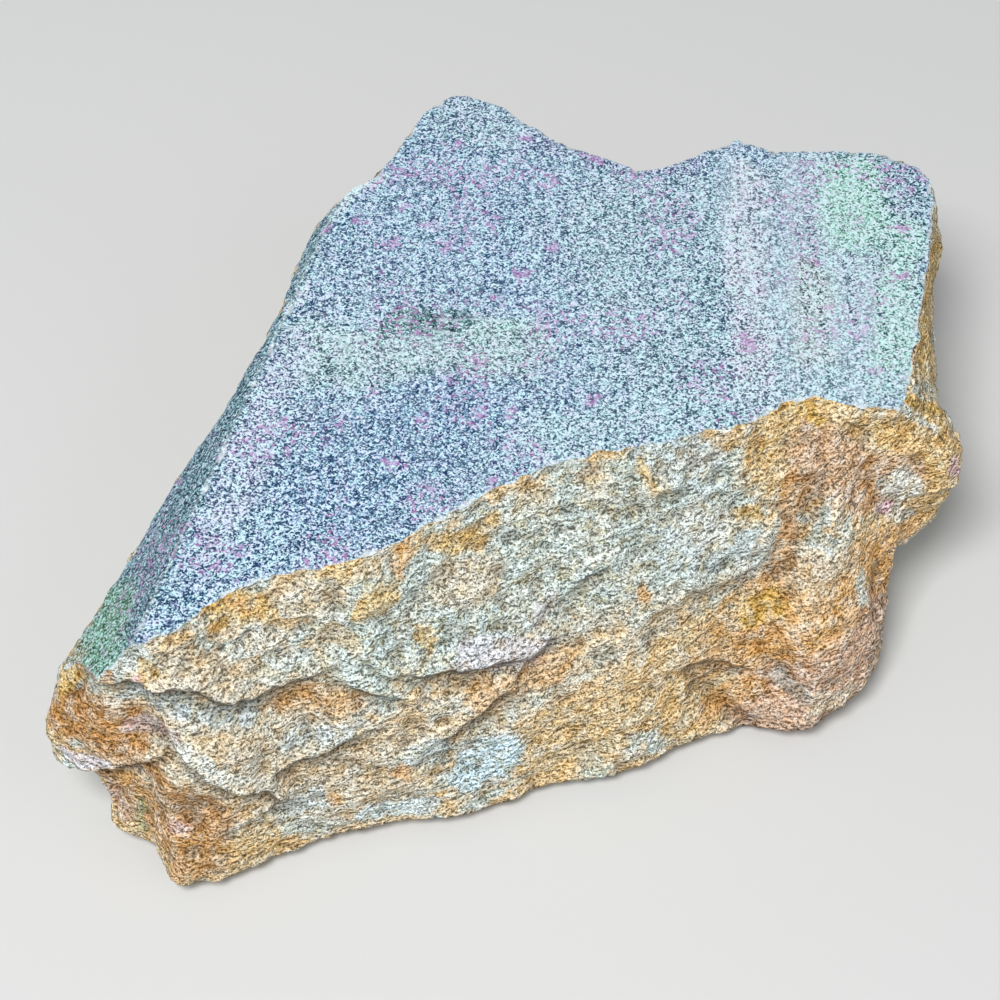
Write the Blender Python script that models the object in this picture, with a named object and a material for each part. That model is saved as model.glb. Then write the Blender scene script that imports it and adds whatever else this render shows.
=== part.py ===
"""A sawn and broken piece of ruby fuchsite kyanite rough, about 145 mm wide, lying on a small flat spot.

The stone is one solid. Its blank is a wall lofted through stations that run round the stone, with the
ledges, furrows, lumps and pits of its weathered rind raised on it. Three flat cuts then trim the blank:
the big sawn face on top, the narrow steep facet on the left, and the small flat spot that it lies on.
"""

import math

import bmesh
import bpy
from mathutils import Vector, noise

MM = 0.001

# Driving sizes in millimetres, with +X to the viewer's right, +Y away from the viewer and +Z up.
STONE_HEIGHT = 45.0
CUT_OVERSHOOT = 30.0
FACET_BACK_POINT = (-27.8, 41.5)
FACET_FRONT_POINT = (-53.8, -42.5)
FACET_LEAN_DEG = 43.0
BLOCK_WIDTH = 240.0
TRIANGLE_BUDGET = 9300

# Surface finishes: linear colours and roughness.
RIND_COLOUR = (0.50, 0.45, 0.33)
RIND_ROUGHNESS = 0.85
SAWN_COLOUR = (0.36, 0.48, 0.55)
SAWN_ROUGHNESS = 0.60

# The wall is lofted from the crown, which the top cut removes, through rim, belly and toe to the foot.
COLUMNS_PER_STATION = 12
WALL_ROWS = 66
CROWN_T = -0.14
UNDERSIDE_ROWS = 16
FOOT_SINK = 1.6
FOOT_CENTRE = (8.0, -2.0)
FOOT_SHARE = 0.36

# One station a line, anticlockwise from the front left corner, as seen from above:
# name, rim x and y, toe x, y and z, and how far the belly swells out half way down.
STATIONS = (
    ("front left toe", -51.2, -42.3, -49.4, -60.6, 3.0, 2.0),
    ("slab above the toe", -46.1, -39.4, -42.0, -59.5, 3.0, 3.5),
    ("front 2", -39.1, -33.4, -33.0, -56.0, 3.0, 3.0),
    ("front 3", -27.1, -30.1, -24.2, -52.2, 3.0, 3.0),
    ("front 4", -17.5, -26.5, -14.5, -50.0, 3.0, 2.5),
    ("front 5", -8.0, -20.5, -6.5, -49.2, 3.0, 2.0),
    ("front 6", 2.0, -14.0, 1.3, -47.2, 3.0, 2.0),
    ("front 7", 10.0, -10.5, 9.0, -43.8, 3.0, 2.0),
    ("front 8", 20.5, -7.8, 18.5, -42.3, 3.0, 2.0),
    ("front 9", 30.5, -5.2, 27.5, -37.5, 3.0, 2.0),
    ("front 10", 38.5, -3.2, 35.5, -34.6, 3.0, 1.0),
    ("crease", 43.5, 0.0, 42.7, -34.4, 3.5, 1.5),
    ("arch", 48.5, 2.2, 49.0, -35.1, 4.5, 2.5),
    ("lobe front", 52.5, 1.0, 54.8, -31.8, 5.5, 2.0),
    ("lobe right", 56.5, 0.0, 60.9, -25.5, 7.0, 0.3),
    ("lobe back", 60.0, -0.2, 62.6, -17.8, 9.0, 2.5),
    ("notch", 62.5, -0.5, 60.1, -10.5, 12.5, 4.6),
    ("right bulge", 64.5, 2.5, 65.2, -4.2, 13.0, 8.8),
    ("right 1", 65.6, 9.0, 68.2, 5.3, 10.0, 5.3),
    ("right 2", 67.6, 18.0, 67.8, 16.0, 7.0, 4.2),
    ("right 3", 69.8, 28.0, 67.3, 27.0, 5.0, 2.5),
    ("right 4", 72.0, 38.0, 68.0, 37.0, 4.0, 2.9),
    ("back right corner", 72.6, 47.5, 66.4, 46.3, 4.0, 4.2),
    ("back 1", 67.2, 53.5, 60.4, 51.8, 4.0, 3.0),
    ("back 2", 56.0, 55.3, 51.0, 53.0, 4.0, 2.5),
    ("back 3", 48.0, 55.2, 43.5, 52.0, 4.0, 2.0),
    ("back 4", 40.5, 57.7, 36.0, 52.8, 4.0, 1.5),
    ("back 5", 33.6, 54.2, 28.5, 51.0, 4.0, 2.0),
    ("saddle", 25.0, 50.9, 21.0, 49.6, 4.0, 3.0),
    ("back 6", 16.5, 54.3, 13.0, 51.8, 4.0, 3.0),
    ("back 7", 8.4, 58.3, 5.5, 55.0, 4.0, 2.0),
    ("back 8", 2.0, 64.0, -0.8, 59.5, 4.0, 1.5),
    ("peak", -6.2, 67.9, -8.0, 62.0, 4.0, 1.0),
    ("left 1", -12.8, 64.6, -14.0, 58.2, 4.0, 1.5),
    ("left 2", -19.5, 52.3, -21.9, 49.0, 4.0, 2.5),
    ("left 3", -29.8, 40.3, -31.2, 38.0, 4.0, 2.3),
    ("left 4", -34.3, 26.7, -33.6, 25.7, 4.0, 1.4),
    ("left 5", -37.4, 16.7, -36.2, 14.2, 4.0, 1.2),
    ("left 6", -43.7, 4.2, -42.1, 1.1, 4.0, 1.0),
    ("left 7", -52.2, -9.9, -48.8, -12.1, 4.0, 1.9),
    ("left 8", -57.2, -24.3, -53.9, -25.8, 4.0, 3.3),
    ("green tip", -60.0, -35.4, -59.8, -38.2, 4.0, 5.2),
    ("knob", -57.2, -42.2, -59.8, -45.2, 4.0, 10.4),
    ("notch below the knob", -56.5, -43.8, -61.5, -50.7, 3.5, 2.6),
    ("broken end of the slab", -53.8, -43.0, -54.6, -54.3, 3.0, 1.2),
)

# The rind's features are placed by column, in stations from the front left toe, and by t, which is 0 at
# the rim and 1 at the toe. Columns between the seam and the front left toe, at the knob, are negative.
SEAM_COLUMN = -3.65

# A ledge is a layer whose lower edge stands out over the rock below it:
# name, how far it stands out, how far up it fades in t, and the points of its edge as (column, t).
LEDGES = (
    ("long ledge on the left", 2.9, 0.13,
     ((-2.9, 0.15), (-1.0, 0.13), (0.7, 0.19), (1.4, 0.29), (2.0, 0.33), (3.1, 0.31))),
    ("its right end, lower", 1.7, 0.10, ((2.9, 0.33), (3.6, 0.45), (4.4, 0.56))),
    ("middle ledge", 1.9, 0.12,
     ((3.4, 0.30), (3.9, 0.40), (4.5, 0.44), (5.5, 0.50), (6.2, 0.52), (6.9, 0.49))),
    ("lower edge of the left lobe", 3.0, 0.14,
     ((0.1, 0.34), (0.5, 0.44), (0.8, 0.52), (1.1, 0.58), (1.6, 0.65), (2.2, 0.78))),
    ("low ledge on the left", 1.7, 0.09, ((1.8, 0.60), (2.3, 0.61), (2.8, 0.60), (3.7, 0.57))),
    ("low ledge in the middle", 1.6, 0.08, ((4.1, 0.71), (4.6, 0.69), (5.4, 0.65), (6.3, 0.58))),
    ("rising ledge", 1.2, 0.09, ((4.8, 0.68), (5.4, 0.64), (5.9, 0.58), (6.3, 0.53), (7.0, 0.50))),
    ("rising ledge, upper", 1.0, 0.10, ((6.1, 0.42), (6.9, 0.38), (7.5, 0.32), (8.1, 0.27))),
    ("short ledge on the right", 1.5, 0.07, ((8.7, 0.69), (9.4, 0.72), (10.1, 0.76), (10.8, 0.79))),
    ("ledge under the rim, left", 0.9, 0.06, ((1.6, 0.13), (2.5, 0.12), (3.4, 0.19), (4.2, 0.18))),
    ("ledge under the rim, right", 0.7, 0.06, ((7.2, 0.13), (8.2, 0.15), (9.6, 0.12), (10.8, 0.17))),
    ("ledge over the lobe", 1.0, 0.07, ((8.2, 0.50), (9.0, 0.47), (10.0, 0.48), (11.0, 0.44))),
    ("lower edge of the knob", 2.4, 0.14,
     ((-3.6, 0.72), (-2.7, 0.68), (-2.0, 0.62), (-1.2, 0.55), (-0.4, 0.47), (0.1, 0.42))),
    ("ledge on the right bulge", 0.8, 0.12, ((15.4, 0.46), (16.6, 0.44), (17.8, 0.50), (19.0, 0.48))),
    ("upper ledge on the right side", 1.3, 0.08, ((18.0, 0.24), (19.5, 0.30), (21.0, 0.26), (22.4, 0.33))),
    ("lower ledge on the right side", 1.9, 0.10, ((18.6, 0.72), (20.0, 0.66), (21.6, 0.70), (23.2, 0.64))),
    ("upper ledge at the back", 1.9, 0.11, ((23.0, 0.30), (24.8, 0.36), (26.4, 0.31), (28.0, 0.40))),
    ("middle ledge at the back", 2.4, 0.12, ((25.6, 0.66), (27.4, 0.60), (29.2, 0.68), (31.4, 0.61))),
    ("ledge behind the peak", 2.1, 0.12, ((29.4, 0.34), (31.0, 0.41), (32.4, 0.36), (33.8, 0.44))),
    ("ledge left of the peak", 2.0, 0.12, ((33.2, 0.70), (34.6, 0.63), (36.2, 0.67), (37.6, 0.60))),
    ("ledge under the facet", 1.6, 0.10, ((36.8, 0.80), (38.2, 0.76), (39.8, 0.81), (41.2, 0.75))),
)

# A furrow runs down the wall: name, depth, half width in columns, and its points as (t, column).
FURROWS = (
    ("left furrow of the right end", 1.3, 0.50, ((0.14, 12.7), (0.26, 12.3), (0.42, 11.5), (0.62, 11.2))),
    ("furrow above the notch", 0.9, 0.55, ((0.06, 13.7), (0.22, 14.1), (0.38, 14.6), (0.72, 14.9))),
    ("crease left of the lobe", 1.8, 0.35, ((0.78, 9.4), (0.86, 9.8), (0.96, 10.4), (1.06, 10.9))),
    ("crease across the lobe", 1.0, 0.30, ((0.76, 11.2), (0.84, 11.6), (0.94, 12.3))),
    ("cleft in the back", 1.8, 0.50, ((-0.1, 28.4), (0.4, 28.1), (1.0, 27.8))),
)

# A swelling stands out round its centre and a pit, with a minus sign, goes in:
# name, column and t of its centre, half width in columns, half height in t, and how far it stands out.
SWELLINGS = (
    ("dip above the knob", -2.95, 0.27, 0.6, 0.13, -4.7),
    ("left lobe", 1.3, 0.46, 1.0, 0.13, 1.6),
    ("hollow between knob and lobe", -0.2, 0.36, 0.6, 0.12, -1.9),
    ("hollow under the lobe", 0.4, 0.66, 0.6, 0.12, -1.6),
    ("notch under the knob", -2.2, 0.83, 0.7, 0.09, -4.4),
    ("right lobe", 12.8, 0.74, 1.6, 0.20, 1.5),
    ("notch above the right lobe", 14.3, 0.69, 0.5, 0.08, -1.4),
    ("brow of the right bulge", 17.3, 0.29, 0.7, 0.12, 2.0),
    ("under the right bulge", 16.7, 0.60, 0.9, 0.10, -0.8),
    ("shoulder under the rim, right", 12.0, 0.04, 0.8, 0.08, 0.9),
    ("bulge between the furrows", 12.9, 0.34, 0.6, 0.16, 0.6),
    ("pit right of the middle", 9.6, 0.30, 0.6, 0.08, -0.9),
    ("swell in the middle", 7.2, 0.66, 1.4, 0.12, 0.9),
    ("pit by the rising ledge", 5.0, 0.80, 0.7, 0.08, -0.9),
    ("shoulder under the green band", -4.0, 0.38, 1.0, 0.10, 1.1),
    ("point of the toe", 0.0, 0.97, 0.2, 0.12, 0.9),
)

# A ledge's edge drops over this much of t, and hollows the rock under it by a share of its own height.
STEP_SOFTNESS = 0.010
UNDERCUT = 0.45
UNDERCUT_REACH = 0.06
EDGE_WAVER = 0.02
WAVER_PACE = (2.6, 9.0)

# Lumps all over the rind, as their width and height in millimetres.
LUMPS = ((24.0, 1.0), (9.0, 0.6), (4.0, 0.35))

# The rock's own layers lie nearly level, and their broken edges step in and out all round.
LAYER_THICKNESS = 6.5
LAYER_TILT = (0.10, -0.05)
LAYER_WAVE = 3.0
LAYER_WAVE_WIDTH = 30.0
LAYER_STEP = 0.8
LAYER_CREST = 0.85
LAYER_PATCH_WIDTH = 16.0
PATCH_OFFSET = Vector((5, 0, 0))
UNDERSIDE_LUMP_WIDTH = 12.0
UNDERSIDE_LUMPS = 1.8
UNDERSIDE_STEP = 1.7

# The relief is weaker at the rim, so that the saw's edge keeps to the stations.
RIM_RELIEF = 0.3
RIM_RELIEF_REACH = 0.10


def smooth_through(before, start, end, after, share):
    """A point on the smooth curve through four neighbours, between the middle two."""
    a, b, c, d = before, start, end, after
    return 0.5 * (
        2 * b
        + (c - a) * share
        + (2 * a - 5 * b + 4 * c - d) * share**2
        + (3 * b - a - 3 * c + d) * share**3
    )


def round_the_stone(points, column):
    """The closed smooth curve through the stations' points, at any column."""
    count = len(points)
    first = math.floor(column)
    near = [points[(first + k) % count] for k in (-1, 0, 1, 2)]
    return smooth_through(*near, column - first)


def station_curves():
    """The rim, belly and toe points of every station."""
    rims = [Vector((s[1], s[2], STONE_HEIGHT)) for s in STATIONS]
    toes = [Vector(s[3:6]) for s in STATIONS]
    bellies = []
    for i, station in enumerate(STATIONS):
        last = (rims[i - 1] + toes[i - 1]) / 2
        following = (i + 1) % len(STATIONS)
        ahead = (rims[following] + toes[following]) / 2
        along = ahead - last
        outward = Vector((along.y, -along.x, 0)).normalized()
        bellies.append((rims[i] + toes[i]) / 2 + outward * station[6])
    return rims, bellies, toes


RIMS, BELLIES, TOES = station_curves()


def wall_point(column, t):
    """A point of the smooth wall: t is 0 at the rim, 0.5 at the belly and 1 at the toe."""
    rim = round_the_stone(RIMS, column)
    belly = round_the_stone(BELLIES, column)
    toe = round_the_stone(TOES, column)
    pull = 2 * belly - (rim + toe) / 2
    return rim * (1 - t) ** 2 + pull * 2 * t * (1 - t) + toe * t**2


def wall_normal(column, t):
    """The outward direction of the smooth wall."""
    step = 0.05
    along = wall_point(column + step, t) - wall_point(column - step, t)
    down = wall_point(column, t + step) - wall_point(column, t - step)
    return down.cross(along).normalized()


def read_line(points, place):
    """The height of a line of (place, height) points, and how far along it the place lies, or None."""
    for (start, low), (end, high) in zip(points, points[1:]):
        if start <= place <= end:
            height = low + (high - low) * (place - start) / (end - start)
            return height, (place - points[0][0]) / (points[-1][0] - points[0][0])
    return None


def ledge_relief(column, t):
    """How far the named ledges raise the rind: sharp below their edge, and fading out above it."""
    lift = 0.0
    for _name, height, reach, edge in LEDGES:
        found = read_line(edge, column)
        if found is None:
            continue
        line, share = found
        line += EDGE_WAVER * noise.noise(Vector((WAVER_PACE[0] * column, WAVER_PACE[1] * line, 0)))
        gap = line - t
        over = 1 / (1 + math.exp(-gap / STEP_SOFTNESS))
        raised = over * math.exp(-max(gap, 0) / reach)
        hollowed = (1 - over) * UNDERCUT * math.exp(min(gap, 0) / UNDERCUT_REACH)
        lift += height * math.sin(math.pi * share) ** 0.5 * (raised - hollowed)
    return lift


def furrow_relief(column, t):
    """How far the furrows lower the rind."""
    drop = 0.0
    for _name, depth, half_width, line in FURROWS:
        found = read_line(line, t)
        if found is not None:
            centre, share = found
            across = (column - centre) / half_width
            drop -= depth * math.sin(math.pi * share) ** 0.5 * math.exp(-across * across)
    return drop


def swelling_relief(column, t):
    """How far the swellings raise the rind and the pits lower it."""
    lift = 0.0
    half_way = len(STATIONS) / 2
    for _name, centre, level, half_width, half_height, rise in SWELLINGS:
        across = (column - centre + half_way) % len(STATIONS) - half_way
        away = (across / half_width) ** 2 + ((t - level) / half_height) ** 2
        lift += rise * math.exp(-away)
    return lift


def layer_relief(place):
    """The broken edges of the rock's own thin layers, which come and go round the stone."""
    tilt = place.x * LAYER_TILT[0] + place.y * LAYER_TILT[1]
    wave = LAYER_WAVE * noise.noise(place / LAYER_WAVE_WIDTH)
    depth = (STONE_HEIGHT - place.z + tilt + wave) / LAYER_THICKNESS
    share = depth - math.floor(depth)
    rise = share**2
    if share > LAYER_CREST:
        rise = LAYER_CREST**2 * (1 - share) / (1 - LAYER_CREST)
    strength = 0.5 + 0.5 * noise.noise(place / LAYER_PATCH_WIDTH + PATCH_OFFSET)
    return LAYER_STEP * strength * (rise - LAYER_CREST**2 / 3)


def rind_relief(column, t, place):
    """How far the rind stands out from the smooth wall, in millimetres."""
    column = (column - SEAM_COLUMN) % len(STATIONS) + SEAM_COLUMN
    lift = sum(height * noise.fractal(place / size, 1.0, 2.0, 2) for size, height in LUMPS)
    lift += layer_relief(place) + ledge_relief(column, t)
    lift += furrow_relief(column, t) + swelling_relief(column, t)
    share = min(max(t / RIM_RELIEF_REACH, 0), 1)
    return lift * (RIM_RELIEF + (1 - RIM_RELIEF) * share * share * (3 - 2 * share))


def stepped(height):
    """A height on the underside, drawn towards the broken edges of the layers."""
    level = math.floor(height / UNDERSIDE_STEP)
    share = height / UNDERSIDE_STEP - level
    return UNDERSIDE_STEP * (level + share**3 * (share * (6 * share - 15) + 10))


def wall_rows():
    """The blank's rings from the crown down to the foot, each a list of points."""
    columns = [i / COLUMNS_PER_STATION for i in range(len(STATIONS) * COLUMNS_PER_STATION)]
    rings = []
    for row in range(WALL_ROWS + 1):
        t = CROWN_T + (1 - CROWN_T) * row / WALL_ROWS
        ring = []
        for column in columns:
            place = wall_point(column, t)
            relief = rind_relief(column, t, place)
            ring.append(place + wall_normal(column, t) * relief)
        rings.append(ring)
    centre = Vector((*FOOT_CENTRE, -FOOT_SINK))
    toe_ring = rings[-1]
    for row in range(1, UNDERSIDE_ROWS + 1):
        share = row / UNDERSIDE_ROWS
        ring = []
        for toe in toe_ring:
            foot = centre + (Vector((toe.x, toe.y, -FOOT_SINK)) - centre) * FOOT_SHARE
            place = toe.lerp(foot, share)
            lumps = noise.fractal(place / UNDERSIDE_LUMP_WIDTH, 1.0, 2.0, 3)
            place.z = stepped(place.z + UNDERSIDE_LUMPS * lumps * math.sin(math.pi * share))
            ring.append(place)
        rings.append(ring)
    return rings


def stone_blank():
    """The lofted blank as a closed mesh, in metres."""
    rings = wall_rows()
    mesh = bpy.data.meshes.new("stone")
    work = bmesh.new()
    loops = [[work.verts.new(point * MM) for point in ring] for ring in rings]
    for upper, lower in zip(loops, loops[1:]):
        for i in range(len(upper)):
            work.faces.new((upper[i - 1], lower[i - 1], lower[i], upper[i]))
    work.faces.new(loops[0])
    work.faces.new(reversed(loops[-1]))
    bmesh.ops.triangulate(work, faces=work.faces[:])
    bmesh.ops.recalc_face_normals(work, faces=work.faces[:])
    work.to_mesh(mesh)
    work.free()
    mesh.shade_smooth()
    return mesh


def stone_material(name, colour, roughness):
    material = bpy.data.materials.new(name)
    material.use_nodes = True
    shader = material.node_tree.nodes["Principled BSDF"]
    shader.inputs["Base Color"].default_value = (*colour, 1)
    shader.inputs["Roughness"].default_value = roughness
    shader.inputs["Metallic"].default_value = 0.0
    return material


def saw_block(name, centre, normal, finish, collection):
    """A block of waste whose near side is one flat cut, kept out of the render."""
    bpy.ops.mesh.primitive_cube_add(size=1)
    block = bpy.context.object
    block.name = name
    block.scale = (BLOCK_WIDTH * MM, BLOCK_WIDTH * MM, 2 * CUT_OVERSHOOT * MM)
    block.rotation_euler = normal.to_track_quat("Z", "Y").to_euler()
    block.location = (centre + normal * CUT_OVERSHOOT) * MM
    block.data.materials.append(finish)
    for owner in list(block.users_collection):
        owner.objects.unlink(block)
    collection.objects.link(block)
    block.hide_render = True
    block.display_type = "WIRE"
    return block


def saw_cuts(finish, collection):
    """The three flat cuts: the sawn top, the facet, and the spot that the stone lies on."""
    front = Vector((*FACET_FRONT_POINT, STONE_HEIGHT))
    back = Vector((*FACET_BACK_POINT, STONE_HEIGHT))
    along = (front - back).normalized()
    lean = math.radians(FACET_LEAN_DEG)
    facet_normal = Vector((along.y, -along.x, 0)) * math.cos(lean) + Vector((0, 0, math.sin(lean)))
    top = Vector((0, 0, STONE_HEIGHT))
    return (
        saw_block("top_cut", top, Vector((0, 0, 1)), finish, collection),
        saw_block("facet_cut", (front + back) / 2, facet_normal, finish, collection),
        saw_block("foot_cut", Vector((0, 0, 0)), Vector((0, 0, -1)), finish, collection),
    )


def new_collection(name):
    collection = bpy.data.collections.new(name)
    bpy.context.scene.collection.children.link(collection)
    return collection


def centre_on_origin(stone, cutters):
    """Hang the stone and its cutters on an empty that brings the middle of its bottom to the origin."""
    bpy.context.view_layer.update()
    evaluated = stone.evaluated_get(bpy.context.evaluated_depsgraph_get())
    corners = [Vector(corner) for corner in evaluated.bound_box]
    middle = (corners[0] + corners[6]) / 2
    datum = bpy.data.objects.new("stone_datum", None)
    stone.users_collection[0].objects.link(datum)
    datum.location = (-middle.x, -middle.y, 0)
    for child in (stone, *cutters):
        child.parent = datum


def main():
    for old in list(bpy.data.objects):
        bpy.data.objects.remove(old)
    parts = new_collection("ruby_fuchsite_kyanite")
    waste = new_collection("saw_cuts")
    waste.hide_render = True

    stone = bpy.data.objects.new("stone", stone_blank())
    stone.data.materials.append(stone_material("weathered_rind", RIND_COLOUR, RIND_ROUGHNESS))
    parts.objects.link(stone)
    thin = stone.modifiers.new("fewer_faces", "DECIMATE")
    thin.ratio = TRIANGLE_BUDGET / len(stone.data.polygons)

    cutters = saw_cuts(stone_material("sawn_face", SAWN_COLOUR, SAWN_ROUGHNESS), waste)
    for cutter in cutters:
        cut = stone.modifiers.new(cutter.name, "BOOLEAN")
        cut.operation = "DIFFERENCE"
        cut.object = cutter
        cut.material_mode = "TRANSFER"
    centre_on_origin(stone, cutters)


main()
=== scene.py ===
# %% [markdown]
# # A sawn piece of ruby fuchsite kyanite rough
# A saw has given this lump of rock one big flat face and one narrow steep facet. Every other side is its
# weathered rind: thin layers of rock whose broken edges stand out as ledges, stained ochre and brown.
# The lesson builds the stone as a lapidary meets it. First comes the whole rough lump with its rind, and
# then the cuts. The finishes follow, and last the floor, the lights and the camera.

import math

import bmesh
import bpy
import numpy as np
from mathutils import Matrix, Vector, geometry, kdtree, noise


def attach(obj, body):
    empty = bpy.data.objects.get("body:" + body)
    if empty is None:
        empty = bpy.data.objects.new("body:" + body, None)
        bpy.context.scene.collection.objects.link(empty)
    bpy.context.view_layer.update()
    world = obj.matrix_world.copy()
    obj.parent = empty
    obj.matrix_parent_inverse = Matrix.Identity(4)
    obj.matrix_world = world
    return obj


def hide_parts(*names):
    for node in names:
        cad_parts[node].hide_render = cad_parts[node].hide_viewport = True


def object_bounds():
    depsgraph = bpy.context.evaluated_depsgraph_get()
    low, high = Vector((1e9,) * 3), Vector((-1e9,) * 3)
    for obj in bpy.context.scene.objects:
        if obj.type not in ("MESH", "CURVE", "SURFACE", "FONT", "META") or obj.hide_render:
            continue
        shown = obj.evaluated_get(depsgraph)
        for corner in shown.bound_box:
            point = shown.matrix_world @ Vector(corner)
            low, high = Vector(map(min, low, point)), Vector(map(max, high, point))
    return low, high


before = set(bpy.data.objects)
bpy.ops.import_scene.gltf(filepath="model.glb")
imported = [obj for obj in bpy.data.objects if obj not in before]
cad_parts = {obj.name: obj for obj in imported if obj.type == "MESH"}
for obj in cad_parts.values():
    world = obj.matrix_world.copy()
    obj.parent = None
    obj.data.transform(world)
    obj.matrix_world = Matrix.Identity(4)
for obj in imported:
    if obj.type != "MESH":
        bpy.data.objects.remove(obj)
cad_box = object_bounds()
print("the packed stone's box:", [[round(c, 4) for c in corner] for corner in cad_box])

# %% [markdown]
# ## The wall of the lump
# A wall runs round the stone from its rim down to its toe. It could be sculpted by hand, but a loft
# through measured stations keeps it true to the packed solid, which was lofted through the same ones.
# Each station gives the wall's rim, its toe, and how far its belly swells out half way down.

# %% The stations, in millimetres, with +X to the right, +Y away from the front and +Z up
MM = 0.001
STONE_HEIGHT = 45.0
MIDDLE = np.array((2.70, 3.01, 0.0))

# name, rim x and y, toe x, y and z, swell of the belly
STATIONS = (
    ("front left toe", -51.2, -42.3, -49.4, -60.6, 3.0, 2.0),
    ("slab above the toe", -46.1, -39.4, -42.0, -59.5, 3.0, 3.5),
    ("front 2", -39.1, -33.4, -33.0, -56.0, 3.0, 3.0),
    ("front 3", -27.1, -30.1, -24.2, -52.2, 3.0, 3.0),
    ("front 4", -17.5, -26.5, -14.5, -50.0, 3.0, 2.5),
    ("front 5", -8.0, -20.5, -6.5, -49.2, 3.0, 2.0),
    ("front 6", 2.0, -14.0, 1.3, -47.2, 3.0, 2.0),
    ("front 7", 10.0, -10.5, 9.0, -43.8, 3.0, 2.0),
    ("front 8", 20.5, -7.8, 18.5, -42.3, 3.0, 2.0),
    ("front 9", 30.5, -5.2, 27.5, -37.5, 3.0, 2.0),
    ("front 10", 38.5, -3.2, 35.5, -34.6, 3.0, 1.0),
    ("crease", 43.5, 0.0, 42.7, -34.4, 3.5, 1.5),
    ("arch", 48.5, 2.2, 49.0, -35.1, 4.5, 2.5),
    ("lobe front", 52.5, 1.0, 54.8, -31.8, 5.5, 2.0),
    ("lobe right", 56.5, 0.0, 60.9, -25.5, 7.0, 0.3),
    ("lobe back", 60.0, -0.2, 62.6, -17.8, 9.0, 2.5),
    ("notch", 62.5, -0.5, 60.1, -10.5, 12.5, 4.6),
    ("right bulge", 64.5, 2.5, 65.2, -4.2, 13.0, 8.8),
    ("right 1", 65.6, 9.0, 68.2, 5.3, 10.0, 5.3),
    ("right 2", 67.6, 18.0, 67.8, 16.0, 7.0, 4.2),
    ("right 3", 69.8, 28.0, 67.3, 27.0, 5.0, 2.5),
    ("right 4", 72.0, 38.0, 68.0, 37.0, 4.0, 2.9),
    ("back right corner", 72.6, 47.5, 66.4, 46.3, 4.0, 4.2),
    ("back 1", 67.2, 53.5, 60.4, 51.8, 4.0, 3.0),
    ("back 2", 56.0, 55.3, 51.0, 53.0, 4.0, 2.5),
    ("back 3", 48.0, 55.2, 43.5, 52.0, 4.0, 2.0),
    ("back 4", 40.5, 57.7, 36.0, 52.8, 4.0, 1.5),
    ("back 5", 33.6, 54.2, 28.5, 51.0, 4.0, 2.0),
    ("saddle", 25.0, 50.9, 21.0, 49.6, 4.0, 3.0),
    ("back 6", 16.5, 54.3, 13.0, 51.8, 4.0, 3.0),
    ("back 7", 8.4, 58.3, 5.5, 55.0, 4.0, 2.0),
    ("back 8", 2.0, 64.0, -0.8, 59.5, 4.0, 1.5),
    ("peak", -6.2, 67.9, -8.0, 62.0, 4.0, 1.0),
    ("left 1", -12.8, 64.6, -14.0, 58.2, 4.0, 1.5),
    ("left 2", -19.5, 52.3, -21.9, 49.0, 4.0, 2.5),
    ("left 3", -29.8, 40.3, -31.2, 38.0, 4.0, 2.3),
    ("left 4", -34.3, 26.7, -33.6, 25.7, 4.0, 1.4),
    ("left 5", -37.4, 16.7, -36.2, 14.2, 4.0, 1.2),
    ("left 6", -43.7, 4.2, -42.1, 1.1, 4.0, 1.0),
    ("left 7", -52.2, -9.9, -48.8, -12.1, 4.0, 1.9),
    ("left 8", -57.2, -24.3, -53.9, -25.8, 4.0, 3.3),
    ("green tip", -60.0, -35.4, -59.8, -38.2, 4.0, 5.2),
    ("knob", -57.2, -42.2, -59.8, -45.2, 4.0, 10.4),
    ("notch below the knob", -56.5, -43.8, -61.5, -50.7, 3.5, 2.6),
    ("broken end of the slab", -53.8, -43.0, -54.6, -54.3, 3.0, 1.2),
)
RIMS = np.array([(s[1], s[2], STONE_HEIGHT) for s in STATIONS])
TOES = np.array([s[3:6] for s in STATIONS])
SWELLS = np.array([s[6] for s in STATIONS])
middles = (RIMS + TOES) / 2
along = np.roll(middles, -1, axis=0) - np.roll(middles, 1, axis=0)
outward = np.stack((along[:, 1], -along[:, 0], np.zeros(len(along))), axis=1)
outward /= np.linalg.norm(outward, axis=1, keepdims=True)
BELLIES = middles + outward * SWELLS[:, None]
print(len(STATIONS), "stations round the stone")


# %% A smooth wall through the stations
def through_the_stations(points, column):
    """The closed smooth curve through the stations' points, at many columns at once."""
    first = np.floor(column).astype(int)
    share = (column - first)[..., None]
    a, b, c, d = (points[(first + k) % len(points)] for k in (-1, 0, 1, 2))
    return 0.5 * (
        2 * b
        + (c - a) * share
        + (2 * a - 5 * b + 4 * c - d) * share**2
        + (3 * b - a - 3 * c + d) * share**3
    )


def wall_place(column, t):
    """Places on the smooth wall: t is 0 at the rim, 0.5 at the belly and 1 at the toe."""
    rim = through_the_stations(RIMS, column)
    toe = through_the_stations(TOES, column)
    pull = 2 * through_the_stations(BELLIES, column) - (rim + toe) / 2
    t = t[..., None]
    return rim * (1 - t) ** 2 + pull * 2 * t * (1 - t) + toe * t**2


def unit(vectors):
    return vectors / np.linalg.norm(vectors, axis=-1, keepdims=True)


def wall_normal(column, t):
    """The way out of the smooth wall."""
    step = 0.05
    sideways = wall_place(column + step, t) - wall_place(column - step, t)
    down = wall_place(column, t + step) - wall_place(column, t - step)
    return unit(np.cross(down, sideways))


print("half way down the first station:", wall_place(np.array(0.0), np.array(0.5)).round(1))

# %% [markdown]
# ## A fine net on the wall
# The camera sees the front from close by, so the net is finest there and coarser at the back. Its rows lie
# closer than its columns, because the rock's thin layers change quickly up the wall and slowly along it.

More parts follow.
